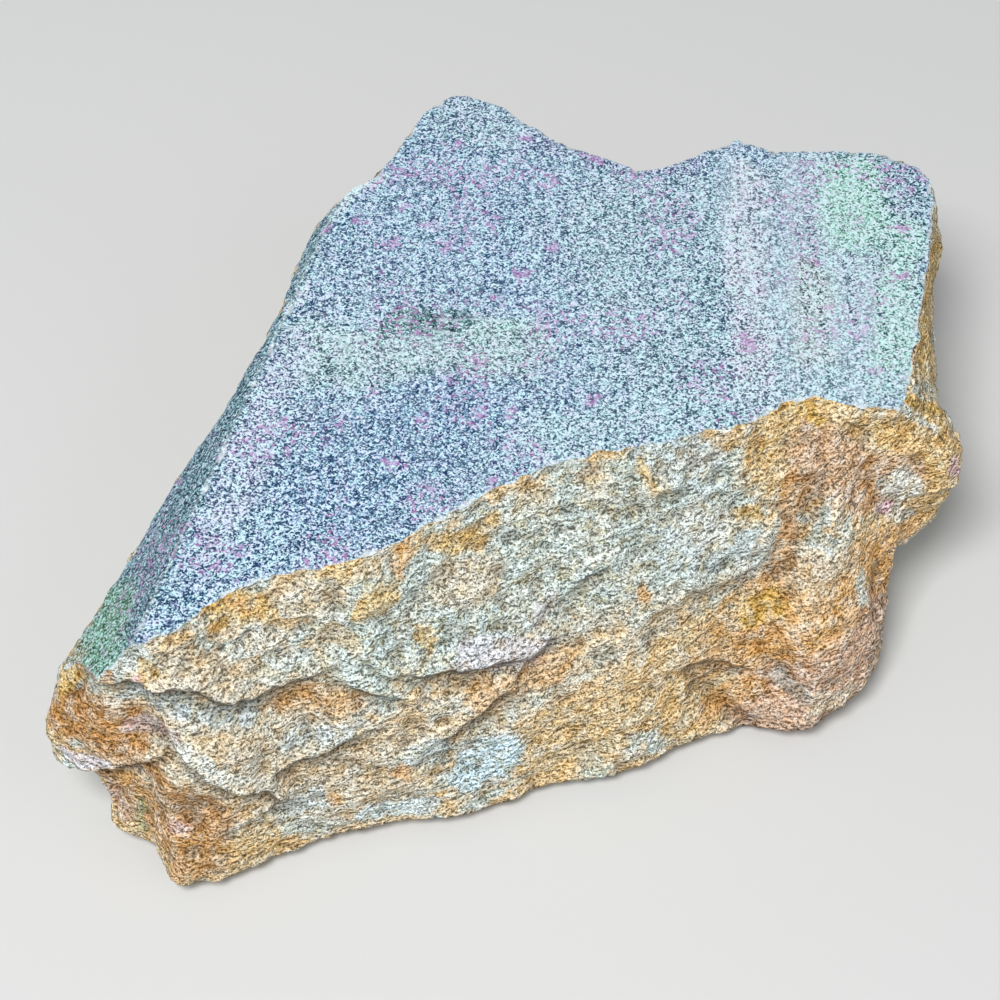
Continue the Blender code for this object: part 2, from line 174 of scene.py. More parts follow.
# %% Lay out the net's columns and rows
FRONT_SPACING, BACK_SPACING = 0.52, 1.15
FRONT_END, FRONT_START = 17.5, 40.5
WALL_ROWS = 122
# The wall starts a little above the rim, so that the saw has something to take off.
CROWN_T = -0.07
STEPS_PER_STATION = 40

walk = np.linspace(0, len(STATIONS), len(STATIONS) * STEPS_PER_STATION + 1)
belly_line = wall_place(walk, np.full(len(walk), 0.5))
strides = np.linalg.norm(np.diff(belly_line, axis=0), axis=1)
behind = np.clip(walk[:-1] - FRONT_END, 0, 1) * np.clip(FRONT_START - walk[:-1], 0, 1)
spacing = FRONT_SPACING + (BACK_SPACING - FRONT_SPACING) * behind
count = np.concatenate(((0,), np.cumsum(strides / spacing)))
column_total = int(count[-1])
columns = np.interp(np.arange(column_total) * count[-1] / column_total, count, walk)
rows = np.linspace(CROWN_T, 1, WALL_ROWS)
net_column, net_t = np.meshgrid(columns, rows)
smooth_wall = wall_place(net_column, net_t)
smooth_normal = wall_normal(net_column, net_t)
print("the net has", WALL_ROWS, "rows of", column_total, "columns, over", round(strides.sum()), "mm")

# %% [markdown]
# ## The forms of the rind
# The big forms are the same named ones as in the packed solid: ledges whose lower edge stands out over the
# rock below, furrows that run down the wall, and swellings and pits. They are placed by station and by t.

# %% The ledges, furrows, swellings and pits
# Forms left of the first station have columns below 0, down to this one.
SEAM_COLUMN = -3.65

# name, how far it stands out, how far up it fades in t, and the points of its edge as (column, t)
LEDGES = (
    ("long ledge on the left", 2.9, 0.13,
     ((-2.9, 0.15), (-1.0, 0.13), (0.7, 0.19), (1.4, 0.29), (2.0, 0.33), (3.1, 0.31))),
    ("its right end, lower", 1.7, 0.10, ((2.9, 0.33), (3.6, 0.45), (4.4, 0.56))),
    ("middle ledge", 1.9, 0.12,
     ((3.4, 0.30), (3.9, 0.40), (4.5, 0.44), (5.5, 0.50), (6.2, 0.52), (6.9, 0.49))),
    ("lower edge of the left lobe", 3.0, 0.14,
     ((0.1, 0.34), (0.5, 0.44), (0.8, 0.52), (1.1, 0.58), (1.6, 0.65), (2.2, 0.78))),
    ("low ledge on the left", 1.7, 0.09, ((1.8, 0.60), (2.3, 0.61), (2.8, 0.60), (3.7, 0.57))),
    ("low ledge in the middle", 1.6, 0.08, ((4.1, 0.71), (4.6, 0.69), (5.4, 0.65), (6.3, 0.58))),
    ("rising ledge", 1.2, 0.09, ((4.8, 0.68), (5.4, 0.64), (5.9, 0.58), (6.3, 0.53), (7.0, 0.50))),
    ("rising ledge, upper", 1.0, 0.10, ((6.1, 0.42), (6.9, 0.38), (7.5, 0.32), (8.1, 0.27))),
    ("short ledge on the right", 1.5, 0.07, ((8.7, 0.69), (9.4, 0.72), (10.1, 0.76), (10.8, 0.79))),
    ("ledge under the rim, left", 0.9, 0.06, ((1.6, 0.13), (2.5, 0.12), (3.4, 0.19), (4.2, 0.18))),
    ("ledge under the rim, right", 0.7, 0.06, ((7.2, 0.13), (8.2, 0.15), (9.6, 0.12), (10.8, 0.17))),
    ("ledge over the lobe", 1.0, 0.07, ((8.2, 0.50), (9.0, 0.47), (10.0, 0.48), (11.0, 0.44))),
    ("lower edge of the knob", 2.4, 0.14,
     ((-3.6, 0.72), (-2.7, 0.68), (-2.0, 0.62), (-1.2, 0.55), (-0.4, 0.47), (0.1, 0.42))),
    ("ledge on the right bulge", 0.8, 0.12, ((15.4, 0.46), (16.6, 0.44), (17.8, 0.50), (19.0, 0.48))),
    ("upper ledge on the right side", 1.3, 0.08, ((18.0, 0.24), (19.5, 0.30), (21.0, 0.26), (22.4, 0.33))),
    ("lower ledge on the right side", 1.9, 0.10, ((18.6, 0.72), (20.0, 0.66), (21.6, 0.70), (23.2, 0.64))),
    ("upper ledge at the back", 1.9, 0.11, ((23.0, 0.30), (24.8, 0.36), (26.4, 0.31), (28.0, 0.40))),
    ("middle ledge at the back", 2.4, 0.12, ((25.6, 0.66), (27.4, 0.60), (29.2, 0.68), (31.4, 0.61))),
    ("ledge behind the peak", 2.1, 0.12, ((29.4, 0.34), (31.0, 0.41), (32.4, 0.36), (33.8, 0.44))),
    ("ledge left of the peak", 2.0, 0.12, ((33.2, 0.70), (34.6, 0.63), (36.2, 0.67), (37.6, 0.60))),
    ("ledge under the facet", 1.6, 0.10, ((36.8, 0.80), (38.2, 0.76), (39.8, 0.81), (41.2, 0.75))),
)
# name, depth, half width in columns, and its points as (t, column)
FURROWS = (
    ("left furrow of the right end", 1.3, 0.50, ((0.14, 12.7), (0.26, 12.3), (0.42, 11.5), (0.62, 11.2))),
    ("furrow above the notch", 0.9, 0.55, ((0.06, 13.7), (0.22, 14.1), (0.38, 14.6), (0.72, 14.9))),
    ("crease left of the lobe", 1.8, 0.35, ((0.78, 9.4), (0.86, 9.8), (0.96, 10.4), (1.06, 10.9))),
    ("crease across the lobe", 1.0, 0.30, ((0.76, 11.2), (0.84, 11.6), (0.94, 12.3))),
    ("cleft in the back", 1.8, 0.50, ((-0.1, 28.4), (0.4, 28.1), (1.0, 27.8))),
)
# name, column and t of its centre, half width in columns, half height in t, and how far it stands out
SWELLINGS = (
    ("dip above the knob", -2.95, 0.27, 0.6, 0.13, -4.7),
    ("left lobe", 1.3, 0.46, 1.0, 0.13, 1.6),
    ("hollow between knob and lobe", -0.2, 0.36, 0.6, 0.12, -1.9),
    ("hollow under the lobe", 0.4, 0.66, 0.6, 0.12, -1.6),
    ("notch under the knob", -2.2, 0.83, 0.7, 0.09, -4.4),
    ("right lobe", 12.8, 0.74, 1.6, 0.20, 1.5),
    ("notch above the right lobe", 14.3, 0.69, 0.5, 0.08, -1.4),
    ("brow of the right bulge", 17.3, 0.29, 0.7, 0.12, 2.0),
    ("under the right bulge", 16.7, 0.60, 0.9, 0.10, -0.8),
    ("shoulder under the rim, right", 12.0, 0.04, 0.8, 0.08, 0.9),
    ("bulge between the furrows", 12.9, 0.34, 0.6, 0.16, 0.6),
    ("pit right of the middle", 9.6, 0.30, 0.6, 0.08, -0.9),
    ("swell in the middle", 7.2, 0.66, 1.4, 0.12, 0.9),
    ("pit by the rising ledge", 5.0, 0.80, 0.7, 0.08, -0.9),
    ("shoulder under the green band", -4.0, 0.38, 1.0, 0.10, 1.1),
    ("point of the toe", 0.0, 0.97, 0.2, 0.12, 0.9),
)
print(len(LEDGES), "ledges,", len(FURROWS), "furrows,", len(SWELLINGS), "swellings and pits")


# %% Noise, a soft step and a taper
def lumpy(places, width, seed=0.0, layers=0):
    """Smooth noise at many places, with lumps about width millimetres across."""
    points = (places / width + seed).reshape(-1, 3).tolist()
    if layers:
        values = [noise.fractal(p, 1.0, 2.0, layers) for p in points]
    else:
        values = [noise.noise(p) for p in points]
    return np.array(values).reshape(places.shape[:-1])


def soft_step(value, low, high):
    """0 below low, 1 above high, and a smooth rise between them."""
    share = np.clip((value - low) / (high - low), 0, 1)
    return share * share * (3 - 2 * share)


def tapered(share):
    """Full in the middle of a line, and nothing at its two ends."""
    return np.sqrt(np.sin(np.pi * np.clip(share, 0, 1)))


print("a taper at its start, quarter and middle:", tapered(np.array((0, 0.25, 0.5))).round(2))

# %% How far the named forms lift each point of the net
STEP_SOFTNESS = 0.006
UNDERCUT, UNDERCUT_REACH = 0.45, 0.06
EDGE_WAVER, WAVER_PACE = 0.02, (2.6, 9.0)

turn = len(STATIONS)
wrapped = (columns - SEAM_COLUMN) % turn + SEAM_COLUMN
named_relief = np.zeros(net_t.shape)
for _name, height, reach, edge in LEDGES:
    at, level = np.array(edge).T
    inside = (wrapped >= at[0]) & (wrapped <= at[-1])
    column = wrapped[inside]
    line = np.interp(column, at, level)
    wavers = [noise.noise((WAVER_PACE[0] * c, WAVER_PACE[1] * v, 0)) for c, v in zip(column, line)]
    gap = line + EDGE_WAVER * np.array(wavers) - rows[:, None]
    over = 1 / (1 + np.exp(-np.clip(gap / STEP_SOFTNESS, -50, 50)))
    raised = over * np.exp(-np.maximum(gap, 0) / reach)
    hollowed = (1 - over) * UNDERCUT * np.exp(np.minimum(gap, 0) / UNDERCUT_REACH)
    full = height * tapered((column - at[0]) / (at[-1] - at[0]))
    named_relief[:, inside] += full * (raised - hollowed)
for _name, depth, half_width, line in FURROWS:
    at, centre = np.array(line).T
    inside = (rows >= at[0]) & (rows <= at[-1])
    across = (wrapped - np.interp(rows[inside], at, centre)[:, None]) / half_width
    full = depth * tapered((rows[inside] - at[0]) / (at[-1] - at[0]))
    named_relief[inside] -= full[:, None] * np.exp(-across * across)
for _name, centre, level, half_width, half_height, rise in SWELLINGS:
    across = (columns - centre + turn / 2) % turn - turn / 2
    away = (across / half_width) ** 2 + ((rows[:, None] - level) / half_height) ** 2
    named_relief += rise * np.exp(-away)
print("the named forms run from", named_relief.min().round(1), "to", named_relief.max().round(1), "mm")

# %% Lumps and the thick layers, as in the packed solid
# width and height of each size of lump
LUMPS = ((24.0, 1.0), (9.0, 0.6), (4.0, 0.35))
THICK_LAYER, THICK_TILT, THICK_WAVE, THICK_WAVE_WIDTH = 6.5, (0.10, -0.05), 3.0, 30.0
THICK_STEP, THICK_CREST = 0.8, 0.85
THICK_PATCH, THICK_PATCH_SEED = 16.0, np.array((5, 0, 0))
RIM_RELIEF, RIM_RELIEF_REACH = 0.3, 0.10

coarse_relief = named_relief.copy()
for width, height in LUMPS:
    coarse_relief += height * lumpy(smooth_wall, width, layers=2)
tilt = smooth_wall[..., 0] * THICK_TILT[0] + smooth_wall[..., 1] * THICK_TILT[1]
depth = STONE_HEIGHT - smooth_wall[..., 2] + tilt + THICK_WAVE * lumpy(smooth_wall, THICK_WAVE_WIDTH)
share = (depth / THICK_LAYER) % 1
rise = np.where(share > THICK_CREST, THICK_CREST**2 * (1 - share) / (1 - THICK_CREST), share**2)
strength = 0.5 + 0.5 * lumpy(smooth_wall, THICK_PATCH, THICK_PATCH_SEED)
coarse_relief += THICK_STEP * strength * (rise - THICK_CREST**2 / 3)
coarse_relief *= (RIM_RELIEF + (1 - RIM_RELIEF) * soft_step(rows, 0, RIM_RELIEF_REACH))[:, None]
coarse_wall = smooth_wall + smooth_normal * coarse_relief[..., None]
print("with the lumps, from", coarse_relief.min().round(1), "to", coarse_relief.max().round(1), "mm")

# %% [markdown]
# ## The thin layers of the rock
# Close up, the rind is a stack of thin flakes. Each breaks off at its own distance, so its edge catches
# light above and throws a dark line below. Noise alone would look like sponge, so the layers are worked
# out as sheets: a height field says which sheet a point belongs to, and each sheet has its own noise.

# %% Which way the sheets run: nearly level on the left, rising to the right, steep in the right end
# x, and how high the sheets have risen there
SHEET_RISE = (
    (-80, 6.0), (-45, 1.5), (-18, -1.5), (0, 0.0), (20, 4.5),
    (38, 10.0), (50, 19.0), (60, 34.0), (75, 55.0),
)
# width, height and seed of each wave in them
SHEET_WAVES = ((26.0, 3.2, 11.0), (9.0, 1.0, 23.0))
# Each sheet takes its noise this far from the last one's, and the noise is pushed this hard to its ends,
# so that an edge breaks off in steps.
SHEET_SHIFT, BREAK_SHARPNESS = 7.31, 6


def sheet_height(places):
    """How high each place lies in the stack of sheets, in millimetres."""
    at, rise = np.array(SHEET_RISE).T
    height = places[..., 2] - np.interp(places[..., 0], at, rise)
    for width, wave, seed in SHEET_WAVES:
        height = height + wave * lumpy(places, width, seed)
    return height


def sheets(places, height, thickness, length, softness, seed):
    """How far each sheet of one thickness stands out, between -1 and 1, along its broken edge."""
    level = height / thickness - 0.5
    lower = np.floor(level)
    mix = np.clip((level - lower - 0.5) / softness + 0.5, 0, 1)
    edges = []
    for index in (lower, lower + 1):
        spots = np.stack((places[..., 0] / length, places[..., 1] / length, index * SHEET_SHIFT), axis=-1)
        value = lumpy(spots, 1.0, seed)
        edges.append(0.5 * value + 0.5 * np.tanh(BREAK_SHARPNESS * value))
    return edges[0] * (1 - mix) + edges[1] * mix


print("the sheets rise by", SHEET_RISE[-1][1] - SHEET_RISE[3][1], "mm to the right of the middle")

# %% Break the sheets' edges off
# thickness of the sheets, length of a flake, softness between two sheets, and how far they stand out
FLAKES = ((2.6, 6.0, 0.14, 0.26), (1.3, 3.2, 0.22, 0.26), (0.75, 1.8, 0.40, 0.24))
FLAKE_SEED_STEP = 3.7
# width and height of each size of grain
GRAIN = ((2.2, 0.20), (1.1, 0.26))
ROUGH_PATCH, ROUGH_PATCH_SEED = 20.0, 41.0
SMOOTH_SHARE, INWARD_SHIFT = 0.65, 0.25

stack = sheet_height(coarse_wall)
roughness_patch = 0.75 + 0.5 * lumpy(coarse_wall, ROUGH_PATCH, ROUGH_PATCH_SEED)
fine_relief = np.zeros(net_t.shape)
for i, (thickness, length, softness, height) in enumerate(FLAKES):
    edges = sheets(coarse_wall, stack, thickness, length, softness, FLAKE_SEED_STEP * i)
    fine_relief += height * roughness_patch * edges
for width, height in GRAIN:
    fine_relief += height * lumpy(coarse_wall, width, width)
rough_normal = unit(np.cross(np.gradient(coarse_wall, axis=0), np.gradient(coarse_wall, axis=1)))
rough_normal = unit(smooth_normal * SMOOTH_SHARE + rough_normal * (1 - SMOOTH_SHARE))
wall = coarse_wall + rough_normal * (fine_relief - INWARD_SHIFT)[..., None]
print("the flakes stand", fine_relief.min().round(2), "to", fine_relief.max().round(2), "mm out")

# %% [markdown]
# ## The underside
# The stone lies on a small flat spot, and round it the broken layers rise in low steps to the toe. Rings
# run in from the toe to just under the floor, where the last cut trims them.

# %% Rings from the toe in to the foot
UNDERSIDE_ROWS = 18
FOOT_SINK, FOOT_CENTRE, FOOT_SHARE = 1.6, (8.0, -2.0), 0.36
UNDERSIDE_LUMP_WIDTH, UNDERSIDE_LUMPS, UNDERSIDE_STEP = 12.0, 1.8, 1.7
UNDERSIDE_GRAIN_WIDTH, UNDERSIDE_GRAIN, FOOT_BREAK = 2.0, 0.35, 0.6


def stepped(height):
    """A height drawn towards the broken edges of the layers."""
    level = np.floor(height / UNDERSIDE_STEP)
    share = height / UNDERSIDE_STEP - level
    return UNDERSIDE_STEP * (level + share**3 * (share * (6 * share - 15) + 10))


toe_ring = wall[-1]
foot_centre = np.array((*FOOT_CENTRE, -FOOT_SINK))
foot_ring = foot_centre + (toe_ring * (1, 1, 0) - (0, 0, FOOT_SINK) - foot_centre) * FOOT_SHARE
inward = (np.arange(1, UNDERSIDE_ROWS + 1) / UNDERSIDE_ROWS)[:, None]
underside = toe_ring + (foot_ring - toe_ring) * inward[..., None]
arch = np.sin(np.pi * inward)
lumps = lumpy(underside, UNDERSIDE_LUMP_WIDTH, layers=3)
underside[..., 2] = stepped(underside[..., 2] + UNDERSIDE_LUMPS * lumps * arch)
underside[..., 2] += UNDERSIDE_GRAIN * arch * lumpy(underside, UNDERSIDE_GRAIN_WIDTH, layers=3)
underside[..., 2] -= FOOT_SINK / 2 * (1 - np.clip(underside[..., 2] / FOOT_BREAK, 0, 1))
net = np.concatenate((wall, underside))
print("the whole net has", net.shape[0] * net.shape[1], "points")

# %% [markdown]
# ## Where the rind is stained, and where light and shade are painted on it
# Iron has stained the hollows ochre and brown, and they are darkened further as painted shade, most under
# the ledges. Edges stay pale blue-grey where they were rubbed, and are lightened as a painted highlight,
# and a painted shadow line runs under each ledge. All three follow the relief, so they are measured from
# it. On top of that come the patches that this stone shows. Each is a soft stroke between two points of the
# wall, in a named tint.

# %% Tints and patches of the rind, as (tint, strength, radius in millimetres, two points as (column, t))
RIND_TINTS = {
    "tan": (0.65, 0.56, 0.41),
    "amber": (0.74, 0.51, 0.21),
    "orange": (0.70, 0.39, 0.12),
    "gold": (0.66, 0.42, 0.08),
    "rust": (0.51, 0.26, 0.07),
    "rose tan": (0.61, 0.40, 0.28),
    "teal": (0.54, 0.65, 0.63),
    "pale": (0.71, 0.73, 0.67),
    "blue grey": (0.53, 0.63, 0.66),
    "cyan white": (0.60, 0.79, 0.88),
    "lilac": (0.65, 0.62, 0.73),
    "mauve": (0.49, 0.38, 0.39),
    "rose": (0.72, 0.43, 0.52),
    "green": (0.24, 0.50, 0.30),
}
RIND_PATCHES = (
    ("tan", 0.8, 11.0, (0.0, 0.30), (3.4, 0.75)),
    ("teal", 0.75, 9.0, (3.6, 0.22), (9.2, 0.30)),
    ("tan", 0.5, 7.0, (4.4, 0.62), (8.6, 0.58)),
    ("amber", 0.6, 6.0, (7.0, 0.84), (9.4, 0.66)),
    ("amber", 0.8, 6.0, (11.0, 0.10), (16.6, 0.20)),
    ("orange", 0.8, 8.5, (11.4, 0.62), (15.2, 0.66)),
    ("amber", 0.7, 8.0, (16.4, 0.14), (17.4, 0.60)),
    ("amber", 0.75, 5.0, (0.0, 0.88), (1.4, 0.92)),
    ("rust", 0.75, 5.5, (-1.8, 0.72), (0.3, 0.86)),
    ("rust", 0.5, 5.0, (9.6, 0.70), (11.0, 0.72)),
    ("amber", 0.65, 5.0, (9.2, 0.90), (11.0, 0.93)),
    ("rose tan", 0.9, 7.0, (11.4, 0.92), (13.8, 0.84)),
    ("rose tan", 0.7, 5.0, (12.4, 0.16), (15.0, 0.30)),
    ("tan", 0.6, 3.5, (11.6, 0.48), (13.2, 0.46)),
    ("green", 0.85, 4.0, (-3.9, 0.10), (-2.9, 0.02)),
    ("gold", 0.7, 2.5, (39.6, 0.32), (41.2, 0.32)),
    ("rust", 0.95, 5.5, (-2.7, 0.38), (-1.5, 0.38)),
    ("rust", 0.8, 4.5, (-1.9, 0.46), (-1.1, 0.51)),
    ("mauve", 0.7, 1.5, (-1.3, 0.37), (0.2, 0.35)),
    ("blue grey", 0.8, 1.8, (-1.2, 0.22), (0.5, 0.24)),
    ("blue grey", 0.8, 1.6, (0.5, 0.24), (1.8, 0.37)),
    ("lilac", 0.7, 1.3, (-2.5, 0.59), (-1.8, 0.57)),
    ("rose", 0.8, 1.0, (-0.4, 0.1), (-0.4, 0.11)),
    ("rust", 0.8, 1.6, (-2.1, 0.06), (-1.8, 0.12)),
    ("gold", 0.7, 1.2, (-0.4, 0.05), (-0.1, 0.09)),
    ("gold", 0.8, 1.3, (-3.5, 0.28), (-3.3, 0.36)),
    ("rose tan", 0.9, 2.0, (-2.5, 0.89), (-1.7, 0.89)),
    ("orange", 0.9, 0.9, (-1.3, 0.66), (-1.3, 0.73)),
    ("green", 0.4, 0.7, (-1.3, 0.78), (-1.1, 0.93)),
    ("rust", 0.8, 4.0, (-0.2, 0.58), (0.8, 0.75)),
    ("rose", 0.35, 1.3, (-0.1, 0.73), (0.1, 0.74)),
    ("orange", 0.7, 1.3, (0.1, 0.78), (0.2, 0.8)),
    ("pale", 0.8, 1.8, (0.4, 0.39), (0.7, 0.45)),
    ("pale", 0.75, 1.8, (0.7, 0.45), (1.2, 0.55)),
    ("gold", 0.7, 2.6, (1.7, 0.02), (2.2, 0.08)),
    ("orange", 0.7, 1.2, (1.9, 0.04), (2.0, 0.05)),
    ("pale", 0.8, 1.8, (2.0, 0.15), (2.4, 0.2)),
    ("tan", 0.7, 2.4, (0.4, 0.09), (1.6, 0.22)),
    ("blue grey", 0.7, 1.8, (2.3, 0.52), (3.1, 0.55)),
    ("blue grey", 0.7, 2.0, (2.2, 0.81), (2.5, 0.79)),
    ("orange", 0.8, 1.3, (2.7, 0.81), (2.8, 0.81)),
    ("orange", 0.7, 2.2, (2.4, 0.38), (3.1, 0.43)),
    ("cyan white", 0.7, 1.8, (3.3, 0.93), (4.4, 0.95)),
    ("cyan white", 0.95, 3.6, (5.3, 0.85), (5.8, 0.82)),
    ("cyan white", 0.6, 2.2, (4.0, 0.72), (4.6, 0.73)),
    ("amber", 0.7, 1.5, (3.0, 0.01), (3.5, 0.0)),
    ("amber", 0.7, 1.5, (4.4, 0.04), (4.7, 0.02)),
    ("amber", 0.7, 1.1, (4.9, 0.07), (5.5, 0.12)),
    ("teal", 0.8, 2.4, (3.8, 0.27), (3.8, 0.47)),
    ("tan", 0.75, 3.0, (5.0, 0.19), (5.6, 0.23)),
    ("tan", 0.7, 2.0, (2.6, 0.07), (3.0, 0.08)),
    ("amber", 0.55, 1.7, (3.2, 0.02), (3.8, 0.05)),
    ("gold", 0.75, 2.0, (3.5, 0.15), (3.95, 0.15)),
    ("amber", 0.5, 1.5, (2.9, 0.18), (3.3, 0.25)),
    ("gold", 0.7, 1.2, (4.55, 0.30), (4.62, 0.35)),
    ("orange", 0.8, 1.3, (4.2, 0.09), (4.55, 0.00)),
    ("gold", 0.55, 1.3, (5.1, 0.09), (5.6, 0.08)),
    ("orange", 0.75, 1.6, (3.95, 0.74), (4.1, 0.77)),
    ("lilac", 0.6, 2.0, (5.1, 0.43), (6.4, 0.5)),
    ("mauve", 0.45, 1.4, (6.3, 0.4), (6.8, 0.37)),
    ("orange", 0.6, 2.4, (5.3, 0.58), (6.9, 0.58)),
    ("amber", 0.8, 2.0, (10.5, -0.02), (12.9, 0.0)),
    ("gold", 0.85, 1.2, (11.6, 0.01), (12.2, 0.04)),
    ("gold", 0.8, 1.8, (16.7, -0.01), (17.6, 0.19)),
    ("pale", 0.95, 1.5, (16.3, 0.01), (16.7, 0.09)),
    ("pale", 0.9, 1.1, (16.8, 0.11), (16.9, 0.17)),
    ("rose", 0.8, 0.9, (17.0, 0.29), (17.0, 0.38)),
    ("pale", 0.8, 1.9, (15.0, 0.3), (15.8, 0.43)),
    ("pale", 0.7, 1.6, (14.8, 0.43), (16.1, 0.59)),
    ("rose", 0.8, 0.8, (14.6, 0.4), (14.8, 0.41)),
    ("rust", 0.75, 1.8, (14.2, 0.2), (14.2, 0.35)),
    ("rust", 0.75, 1.9, (11.7, 0.23), (11.5, 0.35)),
    ("rust", 0.6, 1.8, (11.4, 0.36), (11.2, 0.5)),
    ("blue grey", 0.7, 1.2, (12.2, 0.38), (12.6, 0.42)),
    ("gold", 0.75, 1.8, (9.8, 0.29), (10.3, 0.28)),
    ("gold", 0.85, 2.2, (10.3, 0.59), (11.1, 0.58)),
    ("orange", 0.8, 1.2, (8.3, 0.41), (8.4, 0.43)),
    ("orange", 0.9, 2.4, (10.5, 0.74), (11.3, 0.72)),
    ("pale", 0.95, 1.5, (13.7, 0.59), (13.8, 0.66)),
    ("tan", 0.7, 1.6, (12.4, 0.9), (13.2, 0.95)),
    ("blue grey", 0.5, 1.0, (11.3, 0.82), (12.0, 0.88)),
    ("orange", 0.75, 2.2, (9.8, 0.91), (10.6, 0.86)),
    ("blue grey", 0.7, 2.6, (8.3, 0.01), (9.3, 0.11)),
    ("blue grey", 0.6, 3.4, (8.6, 0.28), (10.6, 0.41)),
    ("gold", 0.6, 1.3, (8.2, 0.06), (8.4, 0.12)),
    ("pale", 0.6, 2.4, (8.9, 0.23), (9.5, 0.29)),
    ("gold", 0.7, 5.0, (18.5, 0.10), (22.5, 0.16)),
    ("green", 0.5, 3.0, (20.0, 0.45), (22.0, 0.50)),
    ("teal", 0.6, 8.0, (25.0, 0.30), (30.0, 0.45)),
    ("orange", 0.6, 7.0, (31.0, 0.70), (35.0, 0.60)),
    ("tan", 0.6, 8.0, (35.0, 0.60), (40.5, 0.80)),
)
print(len(RIND_PATCHES), "patches in", len(RIND_TINTS), "tints")


# %% A soft stroke, a blur over the net, and a way to paint
def stroke_weight(points, start, end, radius, softness=0.4):
    """1 along a stroke from start to end, fading to 0 at its ragged side."""
    start, end = np.array(start, float), np.array(end, float)
    line = end - start
    share = np.clip(((points - start) @ line) / (line @ line), 0, 1)
    away = np.linalg.norm(points - start - share[..., None] * line, axis=-1)
    return 1 - soft_step(away, (1 - softness) * radius, (1 + softness) * radius)


def box_blur(values, down, across):
    """The mean round each point of the net. The net is closed from side to side and open at its ends."""
    ends = np.pad(values, ((down, down), (0, 0)), mode="edge")
    total = np.cumsum(np.pad(ends, ((1, 0), (0, 0))), axis=0)
    values = (total[2 * down + 1:] - total[:-2 * down - 1]) / (2 * down + 1)
    around = np.pad(values, ((0, 0), (across, across)), mode="wrap")
    total = np.cumsum(np.pad(around, ((0, 0), (1, 0))), axis=1)
    return (total[:, 2 * across + 1:] - total[:, :-2 * across - 1]) / (2 * across + 1)


def paint(tint, share, colour):
    """Move the tint of every point towards a colour, by that point's share."""
    tint += share[..., None] * (np.array(colour) - tint)


beside = np.array(((0.0, 1.0), (0.0, 2.0), (0.0, 3.0)))
print("a stroke 2 mm wide, at 1, 2 and 3 mm:", stroke_weight(beside, (0, 0), (5, 0), 2.0).round(2))

# %% Find the raised edges, the hollows and the undercuts, where highlight and shade are painted
# A span says where a mask starts and where it is full.
CLOSE_BLUR, WIDE_BLUR = (3, 3), (10, 8)
CLOSE_SHARE, RIDGE_WIDE_SHARE, HOLLOW_WIDE_SHARE = 1.6, 0.7, 0.8
RIDGE_SPAN, HOLLOW_SPAN = (-0.1, 0.55), (0.05, 0.75)
OVERHANG_ROWS, OVERHANG_SPAN, UNDERCUT_SPAN = 5, (0.4, 1.4), (0.4, 1.2)
# The underside gets a little of the pale edges and the dark hollows, so also of their painted light.
UNDERSIDE_MASK_LEVEL = 0.2


def with_underside(values, value):
    """The wall's values, and one value for all rows of the underside."""
    return np.pad(values, ((0, UNDERSIDE_ROWS), (0, 0)), constant_values=value)


full_relief = coarse_relief + fine_relief
close = full_relief - box_blur(full_relief, *CLOSE_BLUR)
wide = full_relief - box_blur(full_relief, *WIDE_BLUR)
# Raised edges are made pale and lighter, partly as rubbed rock and partly as a painted highlight.
rubbed_and_highlit = soft_step(close * CLOSE_SHARE + wide * RIDGE_WIDE_SHARE, *RIDGE_SPAN)
# Recesses are darkened, partly as iron stain and partly as painted shade.
hollow = soft_step(-(close * CLOSE_SHARE + wide * HOLLOW_WIDE_SHARE), *HOLLOW_SPAN)
# Where the wall steps back under a ledge, the painted shade is deeper.
above = np.max([np.roll(full_relief, down, axis=0) for down in range(1, OVERHANG_ROWS + 1)], axis=0)
above[:OVERHANG_ROWS] = full_relief[:OVERHANG_ROWS]
hollow = np.maximum(hollow, soft_step(above - full_relief, *OVERHANG_SPAN))
# A painted shadow line right under each steep step down.
drop = np.roll(full_relief, 1, axis=0) - np.roll(full_relief, -1, axis=0)
drop[[0, -1]] = 0
undercut_shadow = soft_step(drop, *UNDERCUT_SPAN)
print("rubbed, hollow and undercut:", [round(float(kind.mean()), 3) for kind in (rubbed_and_highlit, hollow, undercut_shadow)])

# %% Unroll the wall, so that strokes can be drawn on it in millimetres
WALL_DROP = 46.0
# width and height of each wave that makes the strokes ragged
RAGGED = ((7.0, 2.2), (2.4, 1.1), (0.9, 0.7))
RAGGED_SEEDS, RAGGED_DOWN = (61.0, 71.0), 0.5

belly = through_the_stations(BELLIES, columns)
girth = np.concatenate(((0,), np.cumsum(np.linalg.norm(np.diff(belly, axis=0), axis=1))))
whole_girth = girth[-1] + FRONT_SPACING
drops = np.pad(rows, (0, UNDERSIDE_ROWS), constant_values=1.0) * WALL_DROP
drawn = np.stack(np.broadcast_arrays(girth, drops[:, None]), axis=-1)
for i, (width, size) in enumerate(RAGGED):
    sideways = lumpy(net, width, RAGGED_SEEDS[0] + i)
    downwards = RAGGED_DOWN * lumpy(net, width, RAGGED_SEEDS[1] + i)
    drawn = drawn + size * np.stack((sideways, downwards), axis=-1)


def on_the_wall(point):
    """A (column, t) point as millimetres along the belly and down the wall."""
    column, t = point
    return np.interp(column % turn, columns, girth), t * WALL_DROP


print("the wall is", round(whole_girth), "mm long when unrolled")

# %% Mottle the rind with teal and amber, and paint the patches on it
MOTTLE_WIDTH, MOTTLE_SEED, MOTTLE_SQUASH = 6.0, 13.0, 2.2
TEAL_MOTTLE, TEAL_SPAN = 0.8, (0.00, 0.24)
AMBER_MOTTLE, AMBER_SPAN = 0.7, (0.08, 0.30)
CRISP = 0.35

